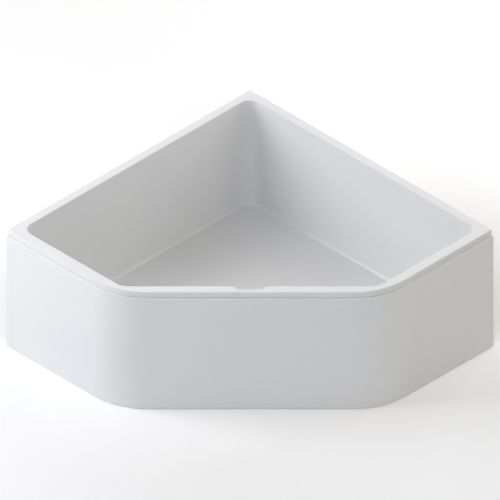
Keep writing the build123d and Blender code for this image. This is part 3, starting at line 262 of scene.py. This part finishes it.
def edit(piece):
    """Goes into edit mode on one piece alone."""
    choose(piece)
    bpy.ops.object.mode_set(mode="EDIT")


def leave():
    bpy.ops.object.mode_set(mode="OBJECT")


def pick(kind, wanted):
    """In edit mode, selects only the faces, edges or points whose element passes a test."""
    mesh = bmesh.from_edit_mesh(bpy.context.object.data)
    bpy.ops.mesh.select_mode(type=kind)
    bpy.ops.mesh.select_all(action="DESELECT")
    mesh.normal_update()
    for element in {"VERT": mesh.verts, "EDGE": mesh.edges, "FACE": mesh.faces}[kind]:
        if wanted(element):
            element.select_set(True)
    mesh.select_flush_mode()
    bmesh.update_edit_mesh(bpy.context.object.data)


def middle(element):
    """The middle of an edge or a face."""
    points = [point.co for point in element.verts]
    return sum(points, Vector()) / len(points)


def centre(low, high, height):
    """The point at a height on the upright axis of a box."""
    return Vector(((low.x + high.x) / 2, (low.y + high.y) / 2, height))


def settle(piece, name, material, body, slot, *nodes):
    """Names a finished piece, puts its place into its mesh, and gives it its finish and body. Its slot is not
    used.
    """
    choose(piece)
    bpy.ops.object.transform_apply(location=True, rotation=True, scale=True)
    bpy.ops.object.shade_smooth_by_angle(angle=radians(34))
    piece.name = name
    piece.data.name = name
    piece.data.materials.clear()
    piece.data.materials.append(material)
    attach(piece, body)
    if nodes:
        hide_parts(*nodes)


laminate, tree, shader, place = finish("glass_laminate", 0, 0.34, 0.6, 30)
black, white = (0, 0, 0), (1, 1, 1)
strands = None
for turn in STRAND_TURNS:
    lines = noise(tree, stretched(tree, place, turn, STRAND_FEATURES), 1, 1)
    lines = ramp(tree, lines, (0.46, black), (0.5, white), (0.54, black))
    strands = joined(tree, "MAXIMUM", strands, lines) if strands else lines
resin = ramp(tree, noise(tree, place, 12, 5), (0.3, (0.50, 0.45, 0.30)), (0.7, (0.66, 0.62, 0.47)))
fibre = ramp(tree, noise(tree, place, 40, 2), (0.3, (0.74, 0.71, 0.58)), (0.7, (0.80, 0.78, 0.68)))
tree.links.new(mixed(tree, strands, resin, fibre), shader.inputs["Base Color"])
relief(tree, shader, joined(tree, "ADD", strands, noise(tree, place, 70, 5)), 0.0012, 0.7)
dress(laminate, "fibreglass_backing")

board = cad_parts["base_board"]
resin_bead = bpy.data.objects.new("resin_bead", board.data.copy())
bpy.context.scene.collection.objects.link(resin_bead)
edit(resin_bead)
bpy.ops.mesh.select_all(action="SELECT")
bpy.ops.mesh.remove_doubles(threshold=TOUCHING)


def on_board_rim(edge):
    """Whether an edge of the board lies between its top and an upright side, away from the stud holes."""
    if any(abs(point.co.z - BOARD_TOP) > CLOSE for point in edge.verts) or len(edge.link_faces) != 2:
        return False
    turned_down = min(abs(face.normal.z) for face in edge.link_faces) < 0.1
    at_hole = any(STUD_HOLE_NEAR < (middle(edge) - hole).length < STUD_HOLE_FAR for hole in stud_holes)
    return turned_down and not at_hole


stud_holes = []
for foot in ("front_centre", "middle_centre"):
    stud_holes.append(centre(*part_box(f"foot_stud_{foot}"), BOARD_TOP))
pick("EDGE", on_board_rim)
bpy.ops.mesh.select_all(action="INVERT")
bpy.ops.mesh.delete(type="EDGE_FACE")
bpy.ops.mesh.delete_loose(use_verts=True, use_edges=False, use_faces=False)
while True:
    edges = bmesh.from_edit_mesh(resin_bead.data).edges
    longest = max(edge.calc_length() for edge in edges)
    if longest < 2 * RESIN_STEP:
        break
    pick("EDGE", lambda edge: edge.calc_length() > longest - CLOSE)
    bpy.ops.mesh.subdivide(number_cuts=round(longest / RESIN_STEP))
leave()
bpy.ops.object.convert(target="CURVE")
bpy.context.object.data.bevel_depth = RESIN_BEAD
bpy.context.object.data.bevel_resolution = 2
bpy.ops.object.convert(target="MESH")
resin_bead = bpy.context.object
edit(resin_bead)
bpy.ops.mesh.select_all(action="SELECT")
bpy.ops.transform.vertex_random(offset=RESIN_LUMP, normal=1, seed=4)
bpy.ops.mesh.subdivide(number_cuts=1, smoothness=1)
bpy.ops.mesh.normals_make_consistent(inside=False)
leave()
settle(resin_bead, "resin_bead", laminate, "tub", "fibreglass")

# Battens and base board
# Raw chipboard, sawn to strips and to a plate: flat chips of every size pressed in glue.
chipboard, tree, shader, place = finish("chipboard", 0, 0.7, 0.9, 200)
chips = tree.nodes.new("ShaderNodeTexVoronoi")
chips.inputs["Scale"].default_value = 1
tree.links.new(stretched(tree, place, (0, 0, 25), (150, 330, 600)), chips.inputs["Vector"])
shavings = ramp(
    tree,
    chips.outputs["Color"],
    (0.1, (0.36, 0.24, 0.12)),
    (0.45, (0.52, 0.37, 0.20)),
    (0.85, (0.66, 0.50, 0.30)),
)
dust = ramp(tree, noise(tree, place, 900, 3), (0.3, (0.45, 0.32, 0.18)), (0.7, (0.63, 0.48, 0.29)))
tree.links.new(mixed(tree, noise(tree, place, 60, 3), shavings, dust), shader.inputs["Base Color"])
edges_of_chips = joined(tree, "ADD", chips.outputs["Distance"], noise(tree, place, 700, 3))
relief(tree, shader, edges_of_chips, 0.0004, 0.6)
dress(chipboard, "rim_battens_wall", "rim_battens_return", "rim_battens_front", "base_board")

# Leg rails
# Channels bent from hot-dip galvanised strip, whose zinc has frozen in large dull and bright crystals. A plate
# for each foot is welded across the open side, with a rippled bead along both of its edges.
WELD_LENGTH = 0.030
WELD_RADIUS = 0.0019
WELD_RIPPLE = 0.0004
RAIL_SIDE = 0.020
RAIL_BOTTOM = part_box("rail_nuts")[0].z

galvanised, tree, shader, place = finish("galvanised_steel", 1, 0.32, 0.5, 60)
crystals = tree.nodes.new("ShaderNodeTexVoronoi")
crystals.inputs["Scale"].default_value = 130
tree.links.new(place, crystals.inputs["Vector"])
zinc = ramp(tree, crystals.outputs["Color"], (0.15, (0.46, 0.48, 0.50)), (0.85, (0.70, 0.72, 0.74)))
tree.links.new(zinc, shader.inputs["Base Color"])
frozen = joined(tree, "ADD", crystals.outputs["Color"], noise(tree, place, 300, 3))
relief(tree, shader, frozen, 0.0001, 0.5)
dress(galvanised, "leg_rail_front", "leg_rail_middle", "leg_rail_back")

weld_steel, tree, shader, place = finish("weld_steel", 1, 0.4, 0.6, 200)
tint(tree, shader, place, 150, (0.40, 0.39, 0.38), (0.56, 0.56, 0.55))
relief(tree, shader, noise(tree, place, 900, 3), 0.0002, 0.6)


def spot(forward, across, height):
    """A point from its distance along the bath's diagonal, its distance to the right of it and its height."""
    corner = cad_high.y
    x = (forward + across) / sqrt(2) - corner
    y = corner - (forward - across) / sqrt(2)
    return Vector((x, y, height))


FORWARD = Vector((1, -1, 0)) / sqrt(2)
ACROSS = Vector((1, 1, 0)) / sqrt(2)
FEET = {}
for node in sorted(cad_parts):
    if node.startswith("foot_stud_"):
        FEET[node.removeprefix("foot_stud_")] = centre(*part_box(node), 0)


def toward(direction, place):
    """Where an upright shape goes: its top turned to the direction, and its origin to the place."""
    return Matrix.Translation(place) @ Vector(direction).to_track_quat("Z", "Y").to_matrix().to_4x4()


def repeat(piece, places):
    """A copy of the piece at each place, all joined into one, in place of the piece itself."""
    twins = []
    for place in places:
        twin = piece.copy()
        twin.data = piece.data.copy()
        bpy.context.scene.collection.objects.link(twin)
        twin.matrix_world = place @ piece.matrix_world
        twins.append(twin)
    bpy.data.objects.remove(piece)
    choose(*twins)
    if len(twins) > 1:
        bpy.ops.object.join()
    return twins[0]


deselect()
bpy.ops.mesh.primitive_uv_sphere_add(segments=12, ring_count=25, radius=WELD_RADIUS)
weld = bpy.context.object
edit(weld)
bpy.ops.mesh.select_all(action="SELECT")
bpy.ops.transform.resize(value=(1, 1, WELD_LENGTH / 2 / WELD_RADIUS))
levels = sorted({round(point.co.z, 6) for point in bmesh.from_edit_mesh(weld.data).verts})
pick("VERT", lambda point: round(point.co.z, 6) in levels[2:-2:2])
bpy.ops.transform.shrink_fatten(value=-WELD_RIPPLE)
leave()
weld_places = []
for foot in FEET.values():
    for side in (-1, 1):
        plate_edge = foot + side * RAIL_SIDE * FORWARD + Vector((0, 0, RAIL_BOTTOM))
        weld_places.append(toward(ACROSS, plate_edge))
weld_beads = repeat(weld, weld_places)
settle(weld_beads, "weld_beads", weld_steel, "tub", "galvanised_steel")

# Nuts on the leg rails
# Cold-forged and zinc-plated, with chamfered corners: a tall one is welded on each plate inside the rail, and
# a thin one under it locks the foot's height.
NUT_FLATS = 0.017
STUD_BORE = 0.00505
COUNTERSINK = 0.0005
STOCK = 0.001
TURNED_AIR = 0.00002

zinc_plated, tree, shader, place = finish("zinc_plated_steel", 1, 0.24, 0.4, 250)
tint(tree, shader, place, 90, (0.60, 0.61, 0.62), (0.70, 0.69, 0.64))
relief(tree, shader, noise(tree, place, 1500, 3), 0.00006, 0.5)


def cut(piece, tool, operation="DIFFERENCE"):
    """Works one shape on another and throws the tool away."""
    choose(piece)
    joint = piece.modifiers.new("cut", "BOOLEAN")
    joint.operation = operation
    joint.solver = "EXACT"
    joint.object = tool
    bpy.ops.object.modifier_apply(modifier=joint.name)
    bpy.data.objects.remove(tool)


def bar(radius, low, high, sides=48, bevels=()):
    """An upright round bar on the origin's axis, with the edges at the given heights bevelled by so much."""
    deselect()
    bpy.ops.mesh.primitive_cylinder_add(
        vertices=sides, radius=radius, depth=high - low, location=(0, 0, (low + high) / 2)
    )
    piece = bpy.context.object
    bpy.ops.object.transform_apply(location=True, rotation=True, scale=True)
    for height, offset, segments in bevels:
        edit(piece)
        pick("EDGE", lambda edge: all(abs(point.co.z - height) < TOUCHING for point in edge.verts))
        bpy.ops.mesh.bevel(offset_type="OFFSET", offset=offset, segments=segments)
        leave()
    return piece


def hexagon(flats, low, high):
    """A hexagonal bar, cut from longer stock, with turned chamfers on the corners of both its ends."""
    corner = flats / 2 / cos(radians(30))
    chamfer = (corner - flats / 2) * 1.1
    piece = bar(corner, low - STOCK, high + STOCK, sides=6)
    turned = bar(corner + TURNED_AIR, low, high, bevels=((low, chamfer, 1), (high, chamfer, 1)))
    cut(piece, turned, "INTERSECT")
    return piece


def nut(low, high):
    """A bored nut, with its bore's mouths countersunk."""
    piece = hexagon(NUT_FLATS, low, high)
    cut(piece, bar(STUD_BORE, low - STOCK, high + STOCK, sides=32))

    def at_mouth(edge):
        first, second = (point.co for point in edge.verts)
        in_bore = max(first.xy.length, second.xy.length) < STUD_BORE + CLOSE
        return in_bore and abs(first.z - second.z) < TOUCHING

    edit(piece)
    pick("EDGE", at_mouth)
    bpy.ops.mesh.bevel(offset_type="OFFSET", offset=COUNTERSINK, segments=1)
    leave()
    return piece


for node, name in (("rail_nuts", "weld_nuts"), ("foot_lock_nuts", "lock_nuts")):
    low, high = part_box(node)
    nuts = repeat(nut(low.z, high.z), [Matrix.Translation(place) for place in FEET.values()])
    settle(nuts, name, zinc_plated, "tub", "zinc_plated_steel", node)

# Levelling feet
# A zinc-plated M10 stud with a spanner collar, snapped into a moulded nylon pad whose cone is stiffened by
# eight fins. Turning the collar raises or lowers the bath.
THREAD_PITCH = 0.0015
THREAD_CREST = 0.005
THREAD_ROOT = 0.0041
THREAD_RUNOUT = 0.001
CORE_GAP = 0.00005
COLLAR_FLATS = 0.013
COLLAR_LOW, COLLAR_HIGH = 0.022, 0.029
SHANK_HIGH, CORE_LOW = 0.025, 0.026
SHANK_CHAMFER, STUD_CHAMFER = 0.001, 0.0008
SOCKET_FLOOR = 0.008
PAD_FINS = 8
FIN_THICKNESS = 0.002
FIN_SINK = 0.0005
FIN_LIP = 0.001
FIN_EDGE = 0.0004
PAD_BASE = 0.005
PAD_TOP = 0.020
PAD_EDGE = 0.0235
PAD_NECK = 0.0105


def thread(root, crest, pitch, low, high, steps):
    """A closed upright bar with a V thread, on the origin's axis."""
    deselect()
    bpy.ops.mesh.primitive_plane_add(size=pitch / 2, location=(root, 0, low - pitch))
    piece = bpy.context.object
    bpy.ops.object.transform_apply(location=True, rotation=True, scale=True)
    edit(piece)
    bpy.ops.mesh.select_mode(type="VERT")
    bpy.ops.mesh.select_all(action="SELECT")
    bpy.ops.mesh.merge(type="CENTER")
    for outwards, rise in ((0, 1 / 8), (crest - root, 3 / 8), (0, 1 / 8), (root - crest, 3 / 8)):
        step = {"value": (outwards, 0, rise * pitch)}
        bpy.ops.mesh.extrude_region_move(TRANSFORM_OT_translate=step)
    leave()
    turns = piece.modifiers.new("turns", "SCREW")
    turns.axis = "Z"
    turns.screw_offset = pitch
    turns.iterations = int((high - low) / pitch) + 3
    turns.steps = steps
    turns.render_steps = steps
    bpy.ops.object.modifier_apply(modifier=turns.name)
    edit(piece)
    bpy.ops.mesh.select_all(action="SELECT")
    bpy.ops.mesh.remove_doubles(threshold=pitch / 100)
    for height, up in ((low, 1), (high, -1)):
        bpy.ops.mesh.select_all(action="SELECT")
        bpy.ops.mesh.bisect(
            plane_co=(0, 0, height),
            plane_no=(0, 0, up),
            use_fill=True,
            clear_inner=True,
            threshold=pitch / 10000,
        )
    bpy.ops.mesh.select_all(action="SELECT")
    bpy.ops.mesh.normals_make_consistent(inside=False)
    if bmesh.from_edit_mesh(piece.data).calc_volume(signed=True) < 0:
        bpy.ops.mesh.flip_normals()
    leave()
    return piece


def fuse(piece, other):
    """Makes one object of a piece and another closed shape."""
    choose(piece, other)
    bpy.ops.object.join()


def stud(top):
    """A threaded stud with its collar and a chamfered end."""
    piece = bar(THREAD_ROOT - CORE_GAP, CORE_LOW, top, 32, ((top, STUD_CHAMFER, 1),))
    cut(piece, hexagon(COLLAR_FLATS, COLLAR_LOW, COLLAR_HIGH), "UNION")
    shank = bar(THREAD_CREST, SOCKET_FLOOR, SHANK_HIGH, 32, ((SOCKET_FLOOR, SHANK_CHAMFER, 1),))
    cut(piece, shank, "UNION")
    thread_low, thread_high = COLLAR_HIGH - THREAD_RUNOUT, top - THREAD_RUNOUT
    fuse(piece, thread(THREAD_ROOT, THREAD_CREST, THREAD_PITCH, thread_low, thread_high, 24))
    return piece


foot_plastic, tree, shader, place = finish("foot_plastic", 0, 0.42, 0.58, 120)
tint(tree, shader, place, 30, (0.030, 0.030, 0.032), (0.042, 0.042, 0.044))
relief(tree, shader, noise(tree, place, 1400, 2), 0.0001, 0.5)


def fins():
    """The fins of one pad: upright plates cut to a slope from the base's edge up to the neck."""
    deselect()
    bpy.ops.mesh.primitive_cube_add(
        size=1,
        location=((PAD_NECK + PAD_EDGE) / 2, 0, (PAD_BASE + PAD_TOP) / 2 - FIN_SINK),
        scale=(PAD_EDGE - PAD_NECK + 2 * FIN_SINK, FIN_THICKNESS, PAD_TOP - PAD_BASE),
    )
    piece = bpy.context.object
    bpy.ops.object.transform_apply(location=True, rotation=True, scale=True)
    edit(piece)
    bpy.ops.mesh.select_all(action="SELECT")
    bpy.ops.mesh.bisect(
        plane_co=(PAD_EDGE, 0, PAD_BASE + FIN_LIP),
        plane_no=(PAD_TOP - PAD_BASE - FIN_LIP, 0, PAD_EDGE - PAD_NECK),
        use_fill=True,
        clear_outer=True,
    )

    def in_sight(edge):
        on_side = any(abs(face.normal.y) >= 0.5 for face in edge.link_faces)
        return on_side and middle(edge).z > PAD_BASE

    pick("EDGE", in_sight)
    bpy.ops.mesh.bevel(offset_type="OFFSET", offset=FIN_EDGE, segments=2)
    leave()
    turns = [2 * pi * number / PAD_FINS for number in range(PAD_FINS)]
    return repeat(piece, [Matrix.Rotation(turn, 4, "Z") for turn in turns])


stud_tops = {foot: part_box(f"foot_stud_{foot}")[1].z for foot in FEET}
stud_patterns = {height: stud(height) for height in sorted({round(top, 6) for top in stud_tops.values()})}
fin_pattern = fins()
for foot, place in FEET.items():
    stud_pattern = stud_patterns[round(stud_tops[foot], 6)]
    stud_row = (stud_pattern, f"threaded_stud_{foot}", zinc_plated, "zinc_plated_steel", f"foot_stud_{foot}")
    fins_row = (fin_pattern, f"pad_fins_{foot}", foot_plastic, "foot_plastic")
    for pattern, name, material, slot, *replaced in (stud_row, fins_row):
        piece = pattern.copy()
        piece.data = pattern.data.copy()
        bpy.context.scene.collection.objects.link(piece)
        piece.location = place
        settle(piece, name, material, f"foot_{foot}", slot, *replaced)
    dress(foot_plastic, f"foot_pad_{foot}")
for pattern in (*stud_patterns.values(), fin_pattern):
    bpy.data.objects.remove(pattern)

# Timber screws
# Zinc-plated coach screws with a hexagonal head and a coarse thread, turned up through the steel into the
# chipboard.
SCREW_FLATS = 0.007
SCREW_HEAD = 0.0035
SCREW_CREST = 0.0022
SCREW_ROOT = 0.0015
SCREW_PITCH = 0.0018
SCREW_POINT = 0.0008
SCREW_HEAD_EDGE = 0.0004
SCREW_TOP_RUNOUT, SCREW_POINT_RUNOUT = 0.0005, 0.0012


def islands(node):
    """The lowest and highest corners of each solid in a CAD node."""
    pile = bpy.data.objects.new("pile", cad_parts[node].data.copy())
    bpy.context.scene.collection.objects.link(pile)
    edit(pile)
    bpy.ops.mesh.select_all(action="SELECT")
    bpy.ops.mesh.remove_doubles(threshold=TOUCHING)
    bpy.ops.mesh.separate(type="LOOSE")
    leave()
    boxes = []
    for solid in list(bpy.context.selected_objects):
        corners = [Vector(corner) for corner in solid.bound_box]
        boxes.append((corners[0], corners[6]))
        bpy.data.objects.remove(solid)
    return sorted(boxes, key=lambda box: (round(box[0].x, 4), round(box[0].y, 4)))


def timber_screw(length):
    """A screw that stands on its head, from the origin up."""
    corner = SCREW_FLATS / 2 / cos(radians(30))
    thread_low, thread_high = SCREW_HEAD - SCREW_TOP_RUNOUT, length - SCREW_POINT_RUNOUT
    piece = bar(SCREW_ROOT - CORE_GAP, SCREW_HEAD / 2, length, 16, ((length, SCREW_POINT, 1),))
    fuse(piece, bar(corner, 0, SCREW_HEAD, 6, ((0, SCREW_HEAD_EDGE, 1),)))
    fuse(piece, thread(SCREW_ROOT, SCREW_CREST, SCREW_PITCH, thread_low, thread_high, 14))
    return piece


screws_by_length = {}
for low, high in islands("timber_screws"):
    place = Matrix.Translation(centre(low, high, low.z))
    screws_by_length.setdefault(round(high.z - low.z, 5), []).append(place)
batches = [repeat(timber_screw(length), places) for length, places in sorted(screws_by_length.items())]
timber_screws, *longer_screws = batches
for batch in longer_screws:
    fuse(timber_screws, batch)
settle(timber_screws, "coach_screws", zinc_plated, "tub", "zinc_plated_steel", "timber_screws")

# Wall brackets
# Angles bent from the same galvanised strip, for one screw up into the batten and one into the wall.
dress(galvanised, "wall_brackets")

# Drain
# A chromed brass ring that draws the seat together with a moulded body under the floor, with a rubber ring on
# each side of it. The plug stands on a brass click cartridge in the ring's web.
chrome, tree, shader, place = finish("chrome", 1, 0.05, 0.11, 80)
tint(tree, shader, place, 20, (0.82, 0.83, 0.85), (0.87, 0.88, 0.90))
relief(tree, shader, noise(tree, place, 500, 2), 0.00002, 0.3)
dress(chrome, "drain_flange", "waste_plug")

rubber, tree, shader, place = finish("rubber", 0, 0.6, 0.8, 300)
tint(tree, shader, place, 120, (0.018, 0.018, 0.019), (0.032, 0.032, 0.033))
relief(tree, shader, noise(tree, place, 1800, 3), 0.0001, 0.6)
dress(rubber, "drain_gasket_upper", "drain_gasket_lower", "plug_seal")

brass, tree, shader, place = finish("brass", 1, 0.16, 0.3, 200)
tint(tree, shader, place, 70, (0.72, 0.53, 0.24), (0.80, 0.63, 0.33))
turning = tree.nodes.new("ShaderNodeTexWave")
turning.bands_direction = "Z"
turning.inputs["Scale"].default_value = 700
turning.inputs["Distortion"].default_value = 1.5
tree.links.new(place, turning.inputs["Vector"])
relief(tree, shader, turning.outputs["Fac"], 0.00004, 0.5)
dress(brass, "click_cartridge", "plug_stem")

white_plastic, tree, shader, place = finish("white_plastic", 0, 0.34, 0.5, 60)
tint(tree, shader, place, 25, (0.74, 0.74, 0.72), (0.80, 0.80, 0.79))
relief(tree, shader, noise(tree, place, 1100, 2), 0.0001, 0.4)
dress(white_plastic, "drain_body")

# Overflow
# A chromed cup with an open lower edge, held by one stainless screw that pulls the body up behind the niche.
COVER_SCREW_ROOT, COVER_SCREW_CREST, COVER_SCREW_PITCH = 0.0025, 0.003, 0.001
COVER_SCREW_END, COVER_SCREW_POINT = -0.016, 0.0006
SCREW_HEAD_RADIUS = 0.006
SCREW_HEAD_LOW, SCREW_HEAD_HIGH = 0.008, 0.0105
SCREW_HEAD_ROUND = 0.0013
RECESS_LENGTH = 0.0066
RECESS_WIDTH = 0.0011
RECESS_DEPTH = 0.0016
RECESS_TAPER = 0.55
NICHE_LEAN = radians(7.8)
NICHE_BACK = spot(1.4012, 0, 0.485)
OUT_OF_NICHE = Vector((0, 0, sin(NICHE_LEAN))) - cos(NICHE_LEAN) * FORWARD

dress(chrome, "overflow_cover")
dress(rubber, "overflow_gasket")
dress(white_plastic, "overflow_body")

stainless, tree, shader, place = finish("stainless_steel", 1, 0.2, 0.34, 300)
tint(tree, shader, place, 150, (0.62, 0.62, 0.61), (0.70, 0.70, 0.69))
relief(tree, shader, noise(tree, place, 2000, 2), 0.00003, 0.4)

point_edge = ((COVER_SCREW_END, COVER_SCREW_POINT, 1),)
head_edge = ((SCREW_HEAD_HIGH, SCREW_HEAD_ROUND, 4),)
overflow_screw = bar(
    COVER_SCREW_ROOT - CORE_GAP, COVER_SCREW_END, SCREW_HEAD_LOW + 0.001, 24, point_edge
)
cut(overflow_screw, bar(SCREW_HEAD_RADIUS, SCREW_HEAD_LOW, SCREW_HEAD_HIGH, 48, head_edge), "UNION")
for blade in ((RECESS_LENGTH, RECESS_WIDTH), (RECESS_WIDTH, RECESS_LENGTH)):
    deselect()
    bpy.ops.mesh.primitive_cube_add(
        size=1, location=(0, 0, SCREW_HEAD_HIGH), scale=(*blade, 2 * RECESS_DEPTH)
    )
    tool = bpy.context.object
    edit(tool)
    pick("FACE", lambda face: face.normal.z < -0.9)
    bpy.ops.transform.resize(value=(RECESS_TAPER, RECESS_TAPER, 1))
    leave()
    cut(overflow_screw, tool)
thread_low, thread_high = COVER_SCREW_END + THREAD_RUNOUT, SCREW_HEAD_LOW + SCREW_TOP_RUNOUT
cover_thread = thread(COVER_SCREW_ROOT, COVER_SCREW_CREST, COVER_SCREW_PITCH, thread_low, thread_high, 20)
fuse(overflow_screw, cover_thread)
overflow_screw.matrix_world = toward(OUT_OF_NICHE, NICHE_BACK)
settle(overflow_screw, "overflow_cross_screw", stainless, "tub", "stainless_screw", "overflow_screw")

# Overflow pipework
# Extruded white pipe pushed into moulded sockets. A black nut with grip ribs squeezes a rubber ring on each
# joint.
GRIP_RIBS = 24
RIB_HEIGHT = 0.0011
GRIP_MOUTH_EDGE, GRIP_LIP_EDGE = 0.0008, 0.0018
SOCKET_REACH = 0.010
CROSS_PIPE_HEIGHT = 0.0875
CROSS_PIPE_FROM, CROSS_PIPE_TO = 1.2869, 1.3637
RISER_FORWARD, RISER_FROM = 1.4177, 0.1415

white_pipe, tree, shader, place = finish("white_pipe", 0, 0.28, 0.4, 50)
tint(tree, shader, place, 15, (0.78, 0.78, 0.77), (0.83, 0.83, 0.82))
drawn_out = stretched(tree, place, (0, 0, 45), (60, 900, 900))
relief(tree, shader, noise(tree, drawn_out, 1, 2), 0.00008, 0.4)
dress(white_pipe, "overflow_riser_pipe", "overflow_cross_pipe")
dress(white_plastic, "overflow_elbow")
dress(rubber, "pipe_seals")

black_plastic, tree, shader, place = finish("black_plastic", 0, 0.36, 0.52, 150)
tint(tree, shader, place, 40, (0.022, 0.022, 0.023), (0.034, 0.034, 0.035))
relief(tree, shader, noise(tree, place, 1500, 2), 0.00008, 0.5)


def grip_nut(bore, wall, length, lip, lip_bore):
    """A moulded nut from the origin up, with its lip at the top and ribs all round for the hand.

    The ribs' tops lie on the corners of the CAD's nut, which has twelve sides.
    """
    outside = (bore + wall) / cos(radians(15))
    piece = bar(outside - RIB_HEIGHT, -STOCK, length + STOCK, sides=3 * GRIP_RIBS)
    edit(piece)
    step = 2 * pi / (3 * GRIP_RIBS)

    def on_rib(face):
        if abs(face.normal.z) > 0.5:
            return False
        turn = middle(face).xy.angle_signed(Vector((1, 0))) % (2 * pi)
        return int(turn / step) % 3 == 0

    pick("FACE", on_rib)
    bpy.ops.mesh.extrude_region_shrink_fatten(TRANSFORM_OT_shrink_fatten={"value": RIB_HEIGHT})
    leave()
    edges = ((0, GRIP_MOUTH_EDGE, 2), (length, GRIP_LIP_EDGE, 3))
    cut(piece, bar(outside + CLOSE, 0, length, 80, edges), "INTERSECT")
    cut(piece, bar(bore, -STOCK, length - lip, 64))
    cut(piece, bar(lip_bore, length - lip - STOCK, length + STOCK, 60))
    return piece


pipe_nut_places = (
    toward(FORWARD, spot(CROSS_PIPE_FROM - SOCKET_REACH, 0, CROSS_PIPE_HEIGHT)),
    toward(-FORWARD, spot(CROSS_PIPE_TO + SOCKET_REACH, 0, CROSS_PIPE_HEIGHT)),
    toward((0, 0, 1), spot(RISER_FORWARD, 0, RISER_FROM - SOCKET_REACH)),
)
pipe_nut = grip_nut(bore=0.01705, wall=0.003, length=0.015, lip=0.003, lip_bore=0.0143)
pipe_nuts = repeat(pipe_nut, pipe_nut_places)
settle(pipe_nuts, "grip_nuts", black_plastic, "tub", "black_plastic", "pipe_nuts")

# Trap and outlet
# A low moulded pot that holds the water seal, hung from the drain by its nut, and the pipe that leads away
# to the house's drain.
DRAIN = spot(1.23389, 0, 0)
TRAP_NUT_TOP = DRAIN + Vector((0, 0, 0.070))
OUTLET_SOCKET = DRAIN + Vector((-0.071, 0, 0.030))

dress(white_plastic, "trap_body")
dress(rubber, "trap_gasket", "outlet_seal")
dress(white_pipe, "outlet_pipe")

trap_nut = grip_nut(bore=0.02205, wall=0.0055, length=0.018, lip=0.003, lip_bore=0.0193)
trap_nut.matrix_world = toward((0, 0, -1), TRAP_NUT_TOP)
settle(trap_nut, "trap_grip_nut", black_plastic, "tub", "black_plastic", "trap_nut")
outlet_nut = grip_nut(bore=0.02305, wall=0.003, length=0.015, lip=0.003, lip_bore=0.0203)
outlet_nut.matrix_world = toward((-1, 0, 0), OUTLET_SOCKET + Vector((SOCKET_REACH, 0, 0)))
settle(outlet_nut, "outlet_grip_nut", black_plastic, "tub", "black_plastic", "outlet_nut")

# Panel fixings
# Spring clips under the rim that the panel's top flange snaps over, and magnets on angles at its foot that
# hold steel plates glued inside it.
spring_steel, tree, shader, place = finish("spring_steel", 1, 0.26, 0.42, 220)
tint(tree, shader, place, 60, (0.36, 0.37, 0.40), (0.48, 0.49, 0.52))
relief(tree, shader, noise(tree, place, 1200, 3), 0.00005, 0.5)
dress(spring_steel, "panel_clips")
dress(galvanised, "magnet_brackets")

nickel, tree, shader, place = finish("magnet_nickel", 1, 0.14, 0.26, 200)
tint(tree, shader, place, 100, (0.66, 0.65, 0.60), (0.74, 0.73, 0.69))
relief(tree, shader, noise(tree, place, 1600, 2), 0.00003, 0.4)
dress(nickel, "panel_magnets")
dress(zinc_plated, "strike_plates")

# Front panel
# The same white acrylic in one moulded skin, pushed up under the rim and back on to its clips and magnets.
dress(white_acrylic, "front_panel")
